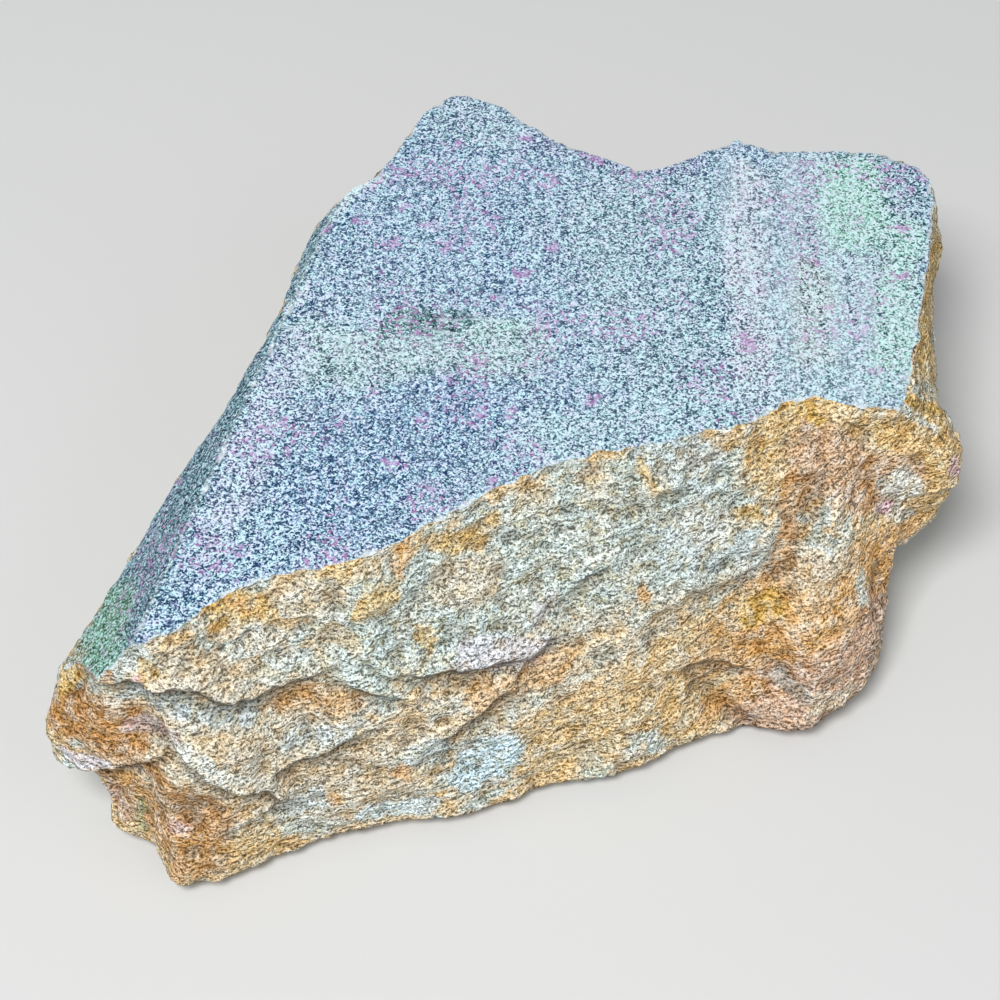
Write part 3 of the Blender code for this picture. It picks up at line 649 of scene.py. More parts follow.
layered = np.stack((net[..., 0], net[..., 1], sheet_height(net) * MOTTLE_SQUASH), axis=-1)
mottle = lumpy(layered, MOTTLE_WIDTH, MOTTLE_SEED, layers=4)
tint = np.tile(RIND_TINTS["tan"], (*mottle.shape, 1))
paint(tint, TEAL_MOTTLE * soft_step(mottle, *TEAL_SPAN), RIND_TINTS["teal"])
paint(tint, AMBER_MOTTLE * soft_step(-mottle, *AMBER_SPAN), RIND_TINTS["amber"])
for name, strength, radius, start, end in RIND_PATCHES:
    start, end = on_the_wall(start), on_the_wall(end)
    if end[0] < start[0] - whole_girth / 2:
        start = (start[0] - whole_girth, start[1])
    weight = np.zeros(tint.shape[:2])
    for lap in (-whole_girth, 0, whole_girth):
        weight = np.maximum(weight, stroke_weight(drawn - (lap, 0), start, end, radius, CRISP))
    paint(tint, strength * weight, RIND_TINTS[name])
print("mean tint of the rind:", tint[:WALL_ROWS].mean(axis=(0, 1)).round(3))

# %% Make the rough lump's mesh, with the stain kept on its points
rings, around = net.shape[:2]
numbers = np.arange(rings * around).reshape(rings, around)
upper, lower = numbers[:-1], numbers[1:]
column_before = np.roll(upper, 1, axis=1), np.roll(lower, 1, axis=1)
quads = np.stack((*column_before, lower, upper), axis=-1).reshape(-1, 4)
lump = bpy.data.meshes.new("ruby_fuchsite_kyanite")
lump.from_pydata(((net.reshape(-1, 3) - MIDDLE) * MM).tolist(), [], quads.tolist())


def keep(mesh, name, values):
    """Store a number or a colour for every point of a mesh."""
    flat = values.reshape(len(mesh.vertices), -1)
    if flat.shape[1] == 1:
        mesh.attributes.new(name, "FLOAT", "POINT").data.foreach_set("value", flat.ravel())
    else:
        colours = np.concatenate((flat, np.ones((len(flat), 1))), axis=1)
        mesh.attributes.new(name, "FLOAT_COLOR", "POINT").data.foreach_set("color", colours.ravel())


keep(lump, "rind_tint", tint)
# Pale edges: wear and painted highlight. Hollows: stain and painted shade. Undercut: painted shadow.
keep(lump, "rubbed_and_highlit", with_underside(rubbed_and_highlit, UNDERSIDE_MASK_LEVEL))
keep(lump, "hollow", with_underside(hollow, UNDERSIDE_MASK_LEVEL))
keep(lump, "undercut_shadow", with_underside(undercut_shadow, 0.0))
# The finest lines of the finish lean less than the sheets, because steep fine lines would look like fur.
FINISH_LEAN = 0.25
keep(lump, "sheet_height", net[..., 2] + FINISH_LEAN * (sheet_height(net) - net[..., 2]))
print("the rough lump has", len(lump.polygons), "faces")

# %% [markdown]
# ## The three cuts
# A saw leaves a dead flat face, and its edge follows every flake of the rind. Cutting the finished rough
# lump with planes gives just that, so the cuts come after the rind and not before it. Each hole is closed
# with a net of small triangles, finest along the rim, so that the rim can be chipped.

# %% Cut the lump and close each cut with one face
FACET_BACK_POINT, FACET_FRONT_POINT, FACET_LEAN_DEG = (-27.8, 41.5), (-53.8, -42.5), 43.0

back = Vector((*FACET_BACK_POINT, STONE_HEIGHT))
front = Vector((*FACET_FRONT_POINT, STONE_HEIGHT))
arris = (front - back).normalized()
lean = math.radians(FACET_LEAN_DEG)
facet_normal = Vector((arris.y, -arris.x, 0)) * math.cos(lean) + Vector((0, 0, math.sin(lean)))
middle = Vector(MIDDLE)
CUTS = (
    ("top", (Vector((0, 0, STONE_HEIGHT)) - middle) * MM, Vector((0, 0, 1))),
    ("facet", (back - middle) * MM, facet_normal),
    ("foot", Vector((0, 0, 0)), Vector((0, 0, -1))),
)
RIND, SAWN, FOOT = 0, 1, 2
# How near to a cut counts as on it, and how near two points are joined, in metres
ON_THE_CUT, WELD = 1e-8, 2e-6

work = bmesh.new()
work.from_mesh(lump)
for name, place, normal in CUTS:
    whole = work.verts[:] + work.edges[:] + work.faces[:]
    cut = bmesh.ops.bisect_plane(
        work, geom=whole, dist=ON_THE_CUT, plane_co=place, plane_no=normal, clear_outer=True
    )
    rim = [e for e in cut["geom_cut"] if isinstance(e, bmesh.types.BMEdge) and e.is_boundary]
    closed = bmesh.ops.holes_fill(work, edges=rim, sides=0)["faces"]
    for face in closed:
        face.material_index = FOOT if name == "foot" else SAWN
    print(name, "cut closed with", [len(face.verts) for face in closed], "corners")

# %% Split the arris, the straight edge where the top meets the facet
RIM_STEP = 0.55 * MM
# No face of the rind has more corners than this.
MOST_CORNERS = 8

bmesh.ops.remove_doubles(work, verts=work.verts[:], dist=WELD)
flats = [face for face in work.faces if len(face.verts) > MOST_CORNERS or face.material_index != RIND]
sawn_flats = [face for face in flats if face.material_index == SAWN]
arris_edges = {e for face in sawn_flats for e in face.edges if all(f in sawn_flats for f in e.link_faces)}
arris_length = sum(edge.calc_length() for edge in arris_edges)
for edge in arris_edges:
    corner = edge.verts[0]
    for pieces_left in range(round(edge.calc_length() / RIM_STEP), 1, -1):
        _, corner = bmesh.utils.edge_split(edge, corner, 1 / pieces_left)
print("the arris is", round(arris_length / MM, 1), "mm long")

# %% A honeycomb of points, and a test for inside
def honeycomb(low, high, spacing):
    """Points spacing apart in staggered rows over a box."""
    xs = np.arange(low[0], high[0], spacing)
    ys = np.arange(low[1], high[1], spacing * math.sqrt(0.75))
    points = np.stack(np.meshgrid(xs, ys), axis=-1)
    points[1::2, :, 0] += spacing / 2
    return points.reshape(-1, 2)


def inside_ring(points, ring):
    """True for the points inside a closed ring."""
    result = np.zeros(len(points), bool)
    for start, end in zip(ring, np.roll(ring, -1, axis=0)):
        if start[1] != end[1]:
            crossing = (points[:, 1] >= min(start[1], end[1])) & (points[:, 1] < max(start[1], end[1]))
            side = start[0] + (points[:, 1] - start[1]) * (end[0] - start[0]) / (end[1] - start[1])
            result ^= crossing & (points[:, 0] < side)
    return result


square = np.array(((0.0, 0.0), (4.0, 0.0), (4.0, 4.0), (0.0, 4.0)))
print("points inside a square of 4 mm:", inside_ring(honeycomb((-1, -1), (5, 5), 1.0), square).sum())

# %% Cover each flat face with a net of triangles
RIM_BAND, RIM_GAP = 3.0, 0.6
NEAR_SPACING, FAR_SPACING, FOOT_SPACING = 0.6, 1.3, 2.5
# Two settings of the net of triangles: keep those inside the ring, and how near two points are the same
INSIDE_ONLY, SAME_POINT = 1, 1e-6


def cover(face, near, far):
    """Replace a flat face by triangles that use its own corners and new points inside it."""
    normal = face.normal.copy()
    u = normal.orthogonal().normalized()
    v = normal.cross(u)
    corners = [loop.vert for loop in face.loops]
    level = corners[0].co.dot(normal)
    ring = np.array([(c.co.dot(u), c.co.dot(v)) for c in corners]) / MM
    tree = kdtree.KDTree(len(ring))
    for i, point in enumerate(ring):
        tree.insert((*point, 0), i)
    tree.balance()
    chosen = []
    for spacing, low, high in ((near, RIM_GAP * near, RIM_BAND), (far, RIM_BAND, math.inf)):
        spots = honeycomb(ring.min(0), ring.max(0), spacing)
        spots = spots[inside_ring(spots, ring)]
        away = np.array([tree.find((*p, 0))[2] for p in spots.tolist()])
        chosen.append(spots[(away > low) & (away <= high)] if len(spots) else spots)
    flat = [Vector(point) for point in np.concatenate((ring, *chosen))]
    edges = [(i, (i + 1) % len(ring)) for i in range(len(ring))]
    result = geometry.delaunay_2d_cdt(flat, edges, [], INSIDE_ONLY, SAME_POINT)
    places, _, triangles, sources, _, _ = result
    made = []
    for place, source in zip(places, sources):
        own = [i for i in source if i < len(ring)]
        spot = (u * place.x + v * place.y) * MM + normal * level
        made.append(corners[own[0]] if own else work.verts.new(spot))
    index = face.material_index
    bmesh.ops.delete(work, geom=[face], context="FACES_ONLY")
    for triangle in triangles:
        new = work.faces.new([made[i] for i in triangle])
        new.material_index = index
    return corners, len(triangles)


rims = []
for face in flats:
    if len(face.verts) <= 4:
        continue
    is_foot = face.material_index == FOOT
    spacings = (FOOT_SPACING, FOOT_SPACING) if is_foot else (NEAR_SPACING, FAR_SPACING)
    turned = face.normal.copy()
    corners, total = cover(face, *spacings)
    if not is_foot:
        rims.append((turned, [c.co.copy() for c in corners]))
    print("a flat face of", len(corners), "corners became", total, "triangles")
bmesh.ops.delete(work, geom=[v for v in work.verts if not v.link_faces], context="VERTS")

# %% [markdown]
# ## Wear along the sawn edges
# A sawn edge in foliated rock is never sharp. Small flakes break off along it, and handling crushes the
# rest to a pale line, painted later together with a highlight along the edge. Points near the rims are
# lowered by a little noise, most where a chip came out.

# %% Chip the rims
CHIP_REACH = 1.4
CHIP_LEAST, CHIP_MOST, CHIP_GRAIN = 0.05, 0.55, 0.14
CHIP_WIDTH, CHIP_SEED, CHIP_SPAN = 3.2, 5.0, (0.12, 0.5)
CHIP_GRAIN_WIDTH, CHIP_GRAIN_SEED = 0.9, 9.0
FAR_AWAY = 99.0

work.verts.ensure_lookup_table()
spots = np.array([vert.co for vert in work.verts]) / MM + MIDDLE
away = np.full(len(spots), FAR_AWAY)
chips = CHIP_LEAST + CHIP_MOST * soft_step(lumpy(spots, CHIP_WIDTH, CHIP_SEED, layers=2), *CHIP_SPAN)
chips += CHIP_GRAIN * np.abs(lumpy(spots, CHIP_GRAIN_WIDTH, CHIP_GRAIN_SEED))
push = np.zeros_like(spots)
for turned, ring in rims:
    tree = kdtree.KDTree(len(ring))
    for i, place in enumerate(ring):
        tree.insert(place / MM + middle, i)
    tree.balance()
    near_rim = np.array([tree.find(p)[2] for p in spots.tolist()])
    away = np.minimum(away, near_rim)
    push -= np.outer(chips * np.clip(1 - near_rim / CHIP_REACH, 0, 1) ** 2, turned)
low, high = (np.array(corner) / MM + MIDDLE for corner in cad_box)
spots = np.clip(spots + push, low, high)
for vert, place in zip(work.verts, ((spots - MIDDLE) * MM).tolist()):
    vert.co = place
print("the chips reach", round(-push[:, 2].min(), 2), "mm deep")

# %% Finish the stone's mesh
SHARP_BEND = math.radians(25)

for edge in work.edges:
    kinds = {face.material_index for face in edge.link_faces}
    bend = edge.calc_face_angle(0) if len(edge.link_faces) == 2 else 0
    edge.smooth = len(kinds) == 1 and not (kinds == {SAWN} and bend > SHARP_BEND)
for face in work.faces:
    face.smooth = True
bmesh.ops.recalc_face_normals(work, faces=work.faces[:])
open_edges = sum(1 for edge in work.edges if len(edge.link_faces) != 2)
work.to_mesh(lump)
work.free()
stone = bpy.data.objects.new("ruby_fuchsite_kyanite", lump)
bpy.context.scene.collection.objects.link(stone)
triangle_total = sum(len(polygon.vertices) - 2 for polygon in lump.polygons)
print("the stone has", triangle_total, "triangles and", open_edges, "open edges")

# %% [markdown]
# ## The colours of the sawn face
# Where the saw passed, the fresh rock shows: slate blue kyanite, with paler bands, green fuchsite at the
# right and small ruby grains. These are soft zones in the rock, so each one is again a stroke with ragged
# sides, here between two points of the face, in millimetres.

# %% Zones and ruby clusters of the sawn face
SLATE = (0.320, 0.480, 0.635)
# tint, strength, radius, and the two ends of the stroke as (x, y)
SAWN_ZONES = (
    ((0.308, 0.487, 0.670), 0.7, 18.0, (-12, 46), (10, 30)),
    ((0.258, 0.432, 0.640), 0.8, 9.0, (-24, -14), (-6, 1)),
    ((0.351, 0.514, 0.610), 0.9, 16.0, (24, 36), (32, 12)),
    ((0.396, 0.543, 0.610), 0.9, 12.0, (58, 44), (56, 12)),
    ((0.387, 0.533, 0.540), 0.9, 5.5, (-30, 11), (3, 13)),
    ((0.080, 0.330, 0.310), 0.9, 3.0, (-16, 17), (-9, 17)),
    ((0.297, 0.524, 0.470), 0.7, 2.2, (-5, 14.7), (3, 15.5)),
    ((0.468, 0.533, 0.680), 0.9, 3.4, (-34, 11), (-43, -25)),
    ((0.590, 0.590, 0.675), 0.9, 3.4, (41.6, 48), (39.7, 4)),
    ((0.520, 0.580, 0.545), 0.8, 2.8, (50.7, 29), (50.2, 10)),
    ((0.300, 0.660, 0.480), 0.9, 5.5, (59, 49), (58.6, 38)),
    ((0.345, 0.650, 0.520), 0.8, 3.2, (67, 37), (61.6, 5)),
    ((0.378, 0.417, 0.620), 0.7, 3.0, (5, 58), (31, 51.6)),
    ((0.378, 0.553, 0.620), 0.7, 5.0, (9, -6), (59, 3)),
    ((0.387, 0.533, 0.630), 0.6, 5.0, (-8, 65), (-2, 60)),
    # These two thin pale strokes along the upper left rim and the arris are pale rock and a painted
    # highlight.
    ((0.666, 0.747, 0.780), 0.9, 1.1, (-28.6, 40.0), (-21, 49.0)),
    ((0.612, 0.679, 0.740), 0.8, 0.9, (-34, 21), (-32.7, 30)),
)
# tint and strength all over the facet, and then two strokes on its lower end
FACET_ZONE = ((0.135, 0.360, 0.435), 0.88)
FACET_STAINS = (
    ((0.155, 0.480, 0.250), 0.95, 6.0, (-64, -25), (-61, -42)),
    ((0.560, 0.440, 0.200), 0.85, 2.3, (-65, -31), (-65, -39)),
)
# the middle of each ruby cluster
RUBIES = (
    (-17.3, 34.0), (-22.4, 39.9), (-9.1, 33.5), (-19.6, 5.4), (65.9, 27.1), (-4.1, -1.5),
    (-13.4, -3.1), (1.7, -0.5), (-10.6, 38.4), (-3.8, 9.4), (14.9, 1.8), (59.5, 7.4),
    (8.4, 32.5), (4.1, 27.1), (-1.0, 38.4), (66.1, 37.9), (-16.2, -10.2), (-2.3, -14.1),
    (15.8, 53.5), (4.4, 57.9), (58.5, 38.4), (-25.2, -4.2), (-1.1, 23.9), (-7.0, 56.9),
    (22.1, 49.3), (-15.7, 43.5), (39.1, 13.1), (-29.8, 37.9), (7.7, 46.8),
)
# strength, radius and the two ends, for the saw's fine lines and for streaks of quartz
SAW_LINE_ZONES = ((0.9, 13.0, (47, 44), (55, 8)), (0.35, 30.0, (0, 40), (0, 0)))
STREAK_ZONES = ((0.9, 6.0, (-30, 12), (8, 15)),)
print(len(SAWN_ZONES), "zones and", len(RUBIES), "ruby clusters")

# %% The tint, the rubies, and the pale rim of wear and painted highlight, for each point of the sawn face
# width and height of each wave that makes the zones ragged
ZONE_RAGGED, ZONE_SEEDS = ((9.0, 2.6), (3.0, 1.3), (1.2, 0.6)), (31.0, 47.0)
FACET_SPAN = (0.1, 1.2)
RUBY_LEAST, RUBY_SWING, RUBY_FIELD_SPAN = 0.08, 0.24, (0.0, 0.4)
RUBY_FIELD, RUBY_SEED, RUBY_CLUSTER = 11.0, 83.0, 1.25
# The pale rim band: crushed rock and a painted highlight along the sawn edges.
PALE_RIM_BAND, PALE_RIM_LEAST = 1.3, 0.4

flat_spots = spots[:, :2]
for i, (width, size) in enumerate(ZONE_RAGGED):
    shifts = [lumpy(spots, width, seed + i) for seed in ZONE_SEEDS]
    flat_spots = flat_spots + size * np.stack(shifts, axis=-1)


def paint_zones(zones):
    """Paint strokes on the sawn face, one after another."""
    for colour, strength, radius, start, end in zones:
        paint(sawn_tint, strength * stroke_weight(flat_spots, start, end, radius), colour)


def strongest(zones):
    """The strongest of a few strokes at each point."""
    strokes = []
    for strength, radius, start, end in zones:
        strokes.append(strength * stroke_weight(flat_spots, start, end, radius))
    return np.max(strokes, axis=0)


sawn_tint = np.tile(SLATE, (len(spots), 1))
paint_zones(SAWN_ZONES)
off_facet = np.abs((spots - np.array(back)) @ np.array(facet_normal))
paint(sawn_tint, FACET_ZONE[1] * (1 - soft_step(off_facet, *FACET_SPAN)), FACET_ZONE[0])
paint_zones(FACET_STAINS)
ruby = RUBY_LEAST + RUBY_SWING * soft_step(lumpy(spots, RUBY_FIELD, RUBY_SEED), *RUBY_FIELD_SPAN)
for x, y in RUBIES:
    ruby = np.maximum(ruby, np.exp(-((flat_spots - (x, y)) ** 2).sum(axis=1) / RUBY_CLUSTER**2))
keep(lump, "sawn_tint", sawn_tint)
keep(lump, "ruby", ruby)
keep(lump, "saw_lines", strongest(SAW_LINE_ZONES))
keep(lump, "streaks", strongest(STREAK_ZONES))
# The pale rim band, for crushed rock and a painted highlight along the edges.
keep(lump, "worn_and_highlit_rim", np.clip(1 - away / PALE_RIM_BAND, 0, 1) * (PALE_RIM_LEAST + chips))
print("mean tint of the sawn face:", sawn_tint.mean(axis=0).round(3))

# %% [markdown]
# ## A way to write materials
# A rock's colour is a long sum of masks. Written as nodes by hand it is hard to read, so one small class
# wraps a socket: Python's sums on it add Math nodes, and one method adds any other node.

# %% The class for shader sockets
class Dye:
    """A socket of a material's nodes, which Python can do sums with."""

    tree = None

    def __init__(self, socket):
        self.socket = socket

    @classmethod
    def feed(cls, socket, value):
        """Link a Dye to a socket, or set a plain value on it."""
        if isinstance(value, Dye):
            cls.tree.links.new(value.socket, socket)
        elif socket.type == "RGBA":
            socket.default_value = (*value, 1.0)
        else:
            socket.default_value = value

    @classmethod
    def make(cls, kind, settings=None, sockets=None, out=0):
        """Add any node: first its settings, then the values or links of its sockets."""
        node = cls.tree.nodes.new("ShaderNode" + kind)
        for name, value in (settings or {}).items():
            setattr(node, name, value)
        for name, value in (sockets or {}).items():
            cls.feed(node.inputs[name], value)
        return cls(node.outputs[out])

    def sum(self, operation, first, second):
        """Add a Math node."""
        return Dye.make("Math", {"operation": operation}, {0: first, 1: second})

    def __add__(self, other):
        return self.sum("ADD", self, other)

    def __sub__(self, other):
        return self.sum("SUBTRACT", self, other)

    def __rsub__(self, other):
        return self.sum("SUBTRACT", other, self)

    def __mul__(self, other):
        return self.sum("MULTIPLY", self, other)

    __radd__ = __add__
    __rmul__ = __mul__


print("sums that a Dye can do:", [name for name in vars(Dye) if name.endswith(("add__", "sub__", "mul__"))])

# %% Masks, colours, noise and bumps made of Dyes
def soft(value, low, high):
    """0 below low, 1 above high, and a smooth rise between them."""
    sockets = {"Value": value, "From Min": low, "From Max": high}
    return Dye.make("MapRange", {"interpolation_type": "SMOOTHSTEP"}, sockets)


def blend(share, start, end, way="MIX"):
    """A colour between two colours."""
    return Dye.make("Mix", {"data_type": "RGBA", "blend_type": way}, {0: share, 6: start, 7: end}, 2)


def dyed(colour, dye):
    """A colour multiplied by another."""
    return blend(1.0, colour, dye, "MULTIPLY")


def stored(name, out="Fac"):
    """A number or colour that the mesh keeps on its points."""
    return Dye.make("Attribute", {"attribute_name": name}, out=out)


def millimetres():
    """The place on the stone, in millimetres."""
    place = Dye.make("TexCoord", out="Object")
    return Dye.make("VectorMath", {"operation": "SCALE"}, {0: place, "Scale": 1 / MM}, "Vector")


def stretched(place, amounts):
    return Dye.make("VectorMath", {"operation": "MULTIPLY"}, {0: place, 1: amounts}, "Vector")


def chances(place, size):
    """Three random numbers for each grain of about this size."""
    colour = Dye.make("TexVoronoi", {}, {"Vector": place, "Scale": 1 / size}, "Color")
    return [Dye.make("SeparateColor", {}, {"Color": colour}, i) for i in range(3)]


def cloud(place, size, detail=2.0):
    """Soft noise from 0 to 1 with lumps of about this size."""
    return Dye.make("TexNoise", {}, {"Vector": place, "Scale": 1 / size, "Detail": detail}, "Fac")


def bumped(height, distance):
    """A way out of the surface that the height has bent, over a distance in millimetres."""
    return Dye.make("Bump", {}, {"Height": height, "Distance": distance * MM}, "Normal")


def new_finish(name):
    """A new material, and the shader in it. Every new node goes into it until the next finish."""
    material = bpy.data.materials.new(name)
    material.use_nodes = True
    Dye.tree = material.node_tree
    return material, material.node_tree.nodes["Principled BSDF"]


# %% [markdown]
# ## The sawn finish
# Up close the fresh rock is a salt and pepper of grains a third of a millimetre across, from dark slate
# to nearly white, and the zone's tint is only their average. So each grain draws a random number that
# makes it dark, plain or pale. Ruby grains are larger and come in clusters. The rims get a pale line,
# partly crushed rock and partly a painted highlight along the sawn edge.
# In the names below, a span is again where a mask starts and is full, and a share is how much it lets in.

# %% The sawn finish
FINE_GRAIN, GRAIN_SIZE, RUBY_SIZE = 0.24, 0.40, 0.6
DARK_GRAIN, PALE_GRAIN = (0.12, 0.20, 0.28), (0.75, 0.93, 1.0)
DARK_SPAN, PALE_SPAN = (0.34, 0.56), (0.53, 0.73)
FINE_WEIGHT, MIDDLE_TINT, TINT_PULL, ZONE_IN_PALE = 0.6, 0.43, 0.55, 0.18
VIOLET, VIOLET_SHARE = (1.10, 0.92, 1.06), 0.5
TEAL, TEAL_SHARE = (0.88, 1.05, 1.00), 0.6
DRIFT_SIZE, DRIFT_SPAN, HUE_JITTER = 1.3, (0.50, 0.62), 0.15
RUBY_DYE, RUBY_SHARE, RUBY_LUCK, RUBY_SPAN = (0.54, 0.24, 0.56), 0.55, 0.8, (0.0, 0.25)
LINE_SIZE, LINE_STRETCH, LINE_SPAN, LINE_SHARE = 0.8, (1.0, 0.02, 0.02), (0.35, 0.65), 0.35
QUARTZ_SIZE, QUARTZ_STRETCH, QUARTZ_SPAN, QUARTZ_SHARE = 0.9, (0.18, 1.0, 1.0), (0.52, 0.66), 0.6
# The pale rim line: crushed rock and a painted highlight.
CRUSHED_AND_HIGHLIGHT, PALE_RIM_SPAN, PALE_RIM_SHARE = (0.76, 0.82, 0.84), (0.25, 0.75), 0.7
PALE_RIM_SIZE, PALE_RIM_NOISE = 0.8, 0.5
SAWN_SMOOTHEST, SAWN_SPARKLE, SAWN_RELIEF = 0.40, 0.35, 0.12
DULL = 0.12

sawn, shader = new_finish("sawn_face")
place = millimetres()
zone = stored("sawn_tint", "Color")
fine, glint, hue = chances(place, FINE_GRAIN)
grain, _, _ = chances(place, GRAIN_SIZE)
brightness = Dye.make("SeparateColor", {}, {"Color": zone}, 1)
salt = fine * FINE_WEIGHT + grain * (1 - FINE_WEIGHT) + (brightness - MIDDLE_TINT) * TINT_PULL
dark = dyed(dyed(zone, zone), DARK_GRAIN)
pale = blend(ZONE_IN_PALE, PALE_GRAIN, zone)
colour = blend(soft(salt, *DARK_SPAN), dark, zone)
colour = blend(soft(salt, *PALE_SPAN), colour, pale)
drift = cloud(place, DRIFT_SIZE) + (hue - 0.5) * HUE_JITTER
colour = blend(soft(drift, *DRIFT_SPAN) * VIOLET_SHARE, colour, dyed(colour, VIOLET))
colour = blend(soft(1.0 - drift, *DRIFT_SPAN) * TEAL_SHARE, colour, dyed(colour, TEAL))
_, ruby_chance, _ = chances(place, RUBY_SIZE)
rubies = soft(stored("ruby") - RUBY_LUCK * ruby_chance, *RUBY_SPAN)
colour = blend(rubies * RUBY_SHARE, colour, RUBY_DYE)
line_depth = soft(cloud(stretched(place, LINE_STRETCH), LINE_SIZE, 3.0), *LINE_SPAN) * stored("saw_lines")
colour = blend(line_depth * LINE_SHARE, colour, pale)
quartz = soft(cloud(stretched(place, QUARTZ_STRETCH), QUARTZ_SIZE, 3.0), *QUARTZ_SPAN)
colour = blend(quartz * stored("streaks") * QUARTZ_SHARE, colour, pale)
# The pale rim line: crushed rock and a painted highlight along the sawn edges.
crushed_and_highlit = stored("worn_and_highlit_rim") + PALE_RIM_NOISE * cloud(place, PALE_RIM_SIZE) - PALE_RIM_NOISE / 2
crushed_and_highlit = soft(crushed_and_highlit, *PALE_RIM_SPAN)
colour = blend(crushed_and_highlit * PALE_RIM_SHARE, colour, CRUSHED_AND_HIGHLIGHT)
Dye.feed(shader.inputs["Base Color"], colour)
Dye.feed(shader.inputs["Roughness"], SAWN_SMOOTHEST + SAWN_SPARKLE * glint)
Dye.feed(shader.inputs["Specular IOR Level"], DULL)
relief = salt * 0.6 + 0.4 * cloud(place, 0.3) - line_depth * 0.6
Dye.feed(shader.inputs["Normal"], bumped(relief, SAWN_RELIEF))
print("sawn finish:", len(sawn.node_tree.nodes), "nodes")

# %% [markdown]
# ## The weathered finish
# The rind's colour comes from the stain and painted light worked out above. Its smallest ledges are finer
# than the mesh, so noise that is stretched along the sheets draws them. Each gets a painted highlight on
# its upper edge and painted shade on its underside, both found by comparing the noise with the same noise
# one small step up. Loose grains then break this up, and every grain has its own roughness, so the rind
# sparkles.

# %% The weathered finish
FINE_FLAKE, FLAKE_SIZE = 0.22, 0.36
# Ledgelets: the noise minus the same noise one step up paints highlight and shade on them.
LEDGELET_SIZE, LEDGELET_SHAPE, LEDGELET_STEP = 0.6, (0.60, 0.66, 1.25), 0.17
LEDGELET_LIGHT_PULL, FINE_PULL, GRAIN_PULL = 2.3, 0.85, 0.40
# Dark grains and painted shade, pale grains and painted highlight, picked by the speck and its ledge light.
DARK_GRAIN_AND_SHADE, DARK_AND_SHADE_SPAN = (0.25, 0.24, 0.21), (0.08, 0.46)
PALE_FLAKE_AND_HIGHLIGHT, PALE_AND_HIGHLIGHT_SPAN = (0.95, 0.94, 0.88), (0.52, 0.92)
PATCH_SIZE, PATCH_SPAN = 1.9, (0.52, 0.62)
# PALE_BLUE_GREY is the rock's own pale colour; on raised edges it comes with a lighter painted highlight.
PALE_BLUE_GREY, RUBBED_PATCH_SHARE, EDGE_WEAR_AND_HIGHLIGHT_SHARE = (0.70, 0.78, 0.78), 0.22, 0.35
STAIN, STAIN_SHARE = (0.95, 0.76, 0.48), 0.5
# Hollows are darkened as stain and painted shade, and under each ledge runs a painted shadow line.
SHADED, SHADED_SHARE = (0.43, 0.38, 0.32), 0.65
UNDERCUT_SHADE, UNDERCUT_SHARE = (0.22, 0.21, 0.20), 0.75
# Lighter copies of the colour, for the painted highlights on edges and on the pale flakes.
LIGHTER, MUCH_LIGHTER = (1.3, 1.3, 1.3), (1.7, 1.7, 1.7)
PALE_IN_EDGE, FLAKE_IN_BRIGHT = 0.4, 0.12
RIND_SMOOTHEST, RIND_SPARKLE, RIND_RELIEF = 0.42, 0.45, 0.40

rind, shader = new_finish("weathered_rind")
place = millimetres()
x, y = (Dye.make("SeparateXYZ", {}, {0: place}, i) for i in (0, 1))
height = stored("sheet_height")


def ledgelet_noise(places):
    return cloud(stretched(places, LEDGELET_SHAPE), LEDGELET_SIZE, 3.0)


along_sheets = Dye.make("CombineXYZ", {}, {0: x, 1: y, 2: height})
a_step_up = Dye.make("CombineXYZ", {}, {0: x, 1: y, 2: height + LEDGELET_STEP})
fine, glint, _ = chances(along_sheets, FINE_FLAKE)
grain, _, _ = chances(along_sheets, FLAKE_SIZE)
ledgelets, higher = ledgelet_noise(along_sheets), ledgelet_noise(a_step_up)
# The last term is painted light: a highlight on each ledgelet's upper edge and shade under it.
speck_and_ledge_light = 0.5 + (fine - 0.5) * FINE_PULL + (grain - 0.5) * GRAIN_PULL + (ledgelets - higher) * LEDGELET_LIGHT_PULL
patch = cloud(along_sheets, PATCH_SIZE)
colour = stored("rind_tint", "Color")
colour = blend(soft(patch, *PATCH_SPAN) * RUBBED_PATCH_SHARE, colour, PALE_BLUE_GREY)
colour = blend(soft(1.0 - patch, *PATCH_SPAN) * STAIN_SHARE, colour, dyed(colour, STAIN))
# Raised edges: rubbed rock and a painted highlight.
worn_and_highlit_edge = blend(PALE_IN_EDGE, dyed(colour, LIGHTER), PALE_BLUE_GREY)
colour = blend(stored("rubbed_and_highlit") * EDGE_WEAR_AND_HIGHLIGHT_SHARE, colour, worn_and_highlit_edge)
# Hollows: iron stain and painted shade. Then the painted shadow line under each ledge.
colour = blend(stored("hollow") * SHADED_SHARE, colour, dyed(colour, SHADED))
colour = blend(stored("undercut_shadow") * UNDERCUT_SHARE, colour, dyed(colour, UNDERCUT_SHADE))
# Dark grains with painted shade, and pale grains with painted highlight.
pale_and_highlit_flake = blend(FLAKE_IN_BRIGHT, dyed(colour, MUCH_LIGHTER), PALE_FLAKE_AND_HIGHLIGHT)
colour = blend(soft(speck_and_ledge_light, *DARK_AND_SHADE_SPAN), dyed(colour, DARK_GRAIN_AND_SHADE), colour)
colour = blend(soft(speck_and_ledge_light, *PALE_AND_HIGHLIGHT_SPAN), colour, pale_and_highlit_flake)
Dye.feed(shader.inputs["Base Color"], colour)
Dye.feed(shader.inputs["Roughness"], RIND_SMOOTHEST + RIND_SPARKLE * glint)
Dye.feed(shader.inputs["Specular IOR Level"], DULL)
Dye.feed(shader.inputs["Normal"], bumped(ledgelets + speck_and_ledge_light * 0.25, RIND_RELIEF))
print("weathered finish:", len(rind.node_tree.nodes), "nodes")

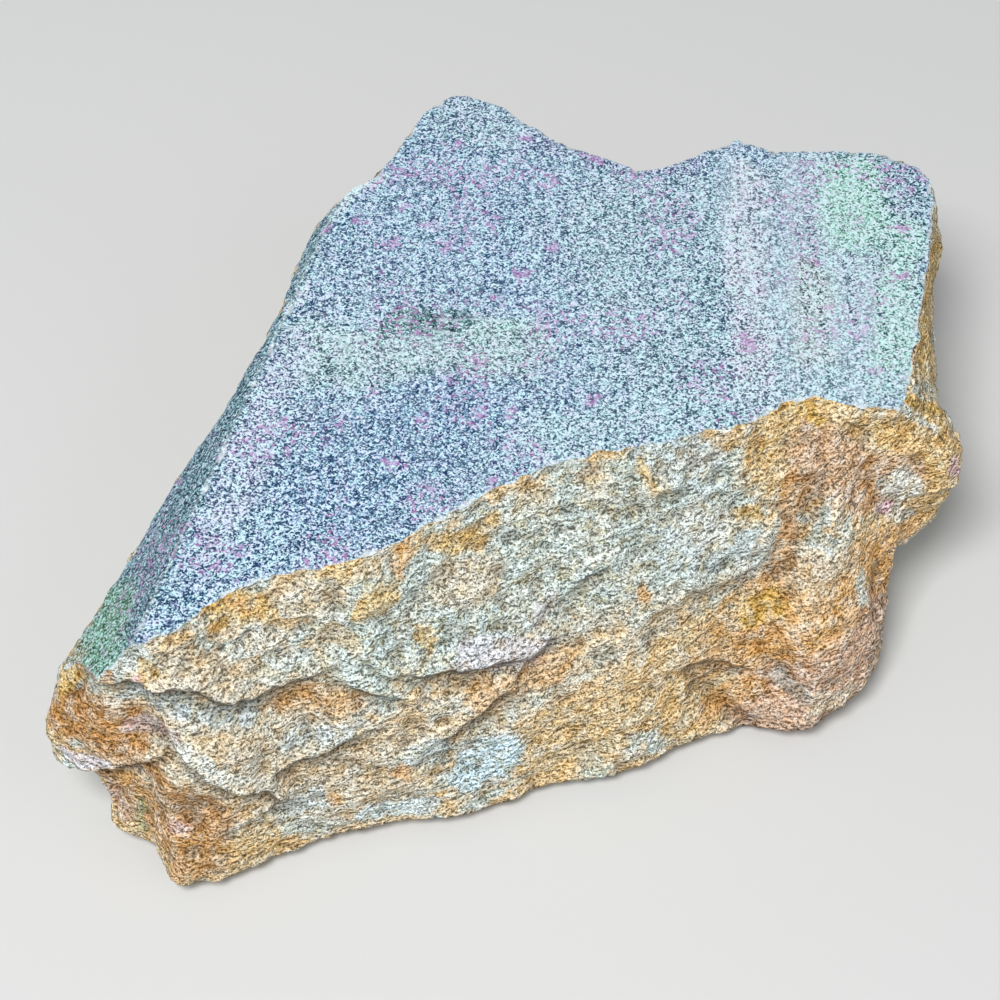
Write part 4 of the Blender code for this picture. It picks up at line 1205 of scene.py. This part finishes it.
# %% Dress the stone, and let it stand for the packed solid
for finish in (rind, sawn, rind):
    lump.materials.append(finish)
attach(stone, "root")
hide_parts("stone")
print("finishes of the rind, the sawn faces and the foot:", [finish.name for finish in lump.materials])

# %% [markdown]
# ## Floor, lights and camera
# The floor is plain and pale. A soft light stands above the front left, so that the top and the front rind
# are about equally bright. A weak wide one on the right and the pale world fill the shadows.

# %% Floor and lights
FLOOR_SIZE, FLOOR_TINT = 4, (0.68, 0.68, 0.67)
SKY_TINT, SKY_STRENGTH = (0.93, 0.96, 1.0), 0.32

bpy.ops.mesh.primitive_plane_add(size=FLOOR_SIZE)
floor = bpy.context.object
floor.name = "floor"
pale_floor, shader = new_finish("pale_floor")
Dye.feed(shader.inputs["Base Color"], FLOOR_TINT)
Dye.feed(shader.inputs["Roughness"], 0.8)
floor.data.materials.append(pale_floor)


def softbox(name, azimuth, elevation, distance, size, power):
    """A square light that looks at the stone, with its place in degrees and metres."""
    data = bpy.data.lights.new(name, "AREA")
    data.size, data.energy = size, power
    lamp = bpy.data.objects.new(name, data)
    bpy.context.scene.collection.objects.link(lamp)
    a, e = math.radians(azimuth), math.radians(elevation)
    lamp.location = distance * Vector((math.sin(a) * math.cos(e), -math.cos(a) * math.cos(e), math.sin(e)))
    lamp.rotation_euler = lamp.location.to_track_quat("Z", "Y").to_euler()


softbox("key", azimuth=-28, elevation=64, distance=1.0, size=0.34, power=8.4)
softbox("fill", azimuth=60, elevation=35, distance=1.2, size=0.8, power=1.2)
world = bpy.data.worlds.new("studio")
world.use_nodes = True
sky = world.node_tree.nodes["Background"]
Dye.feed(sky.inputs["Color"], SKY_TINT)
Dye.feed(sky.inputs["Strength"], SKY_STRENGTH)
bpy.context.scene.world = world
bpy.context.scene.view_settings.view_transform = "Standard"
print("lights:", [light.name for light in bpy.data.lights], "and the world's", SKY_STRENGTH)

# %% The camera, at the photograph's angle
VIEW_DOWN_DEG, VIEW_DISTANCE, AIM_HEIGHT = 55.0, 390.0, 20
LENS, SENSOR_WIDTH, NEAREST = 85.0, 36.0, 0.01

down = math.radians(VIEW_DOWN_DEG)
aim = (Vector((0, 0, AIM_HEIGHT)) - middle) * MM
camera = bpy.data.objects.new("camera", bpy.data.cameras.new("camera"))
camera.data.lens, camera.data.sensor_width, camera.data.clip_start = LENS, SENSOR_WIDTH, NEAREST
camera.location = aim + VIEW_DISTANCE * MM * Vector((0, -math.cos(down), math.sin(down)))
camera.rotation_euler = (math.radians(90) - down, 0, 0)
bpy.context.scene.collection.objects.link(camera)
bpy.context.scene.camera = camera
print("the camera looks down at", VIEW_DOWN_DEG, "degrees from", VIEW_DISTANCE, "mm")
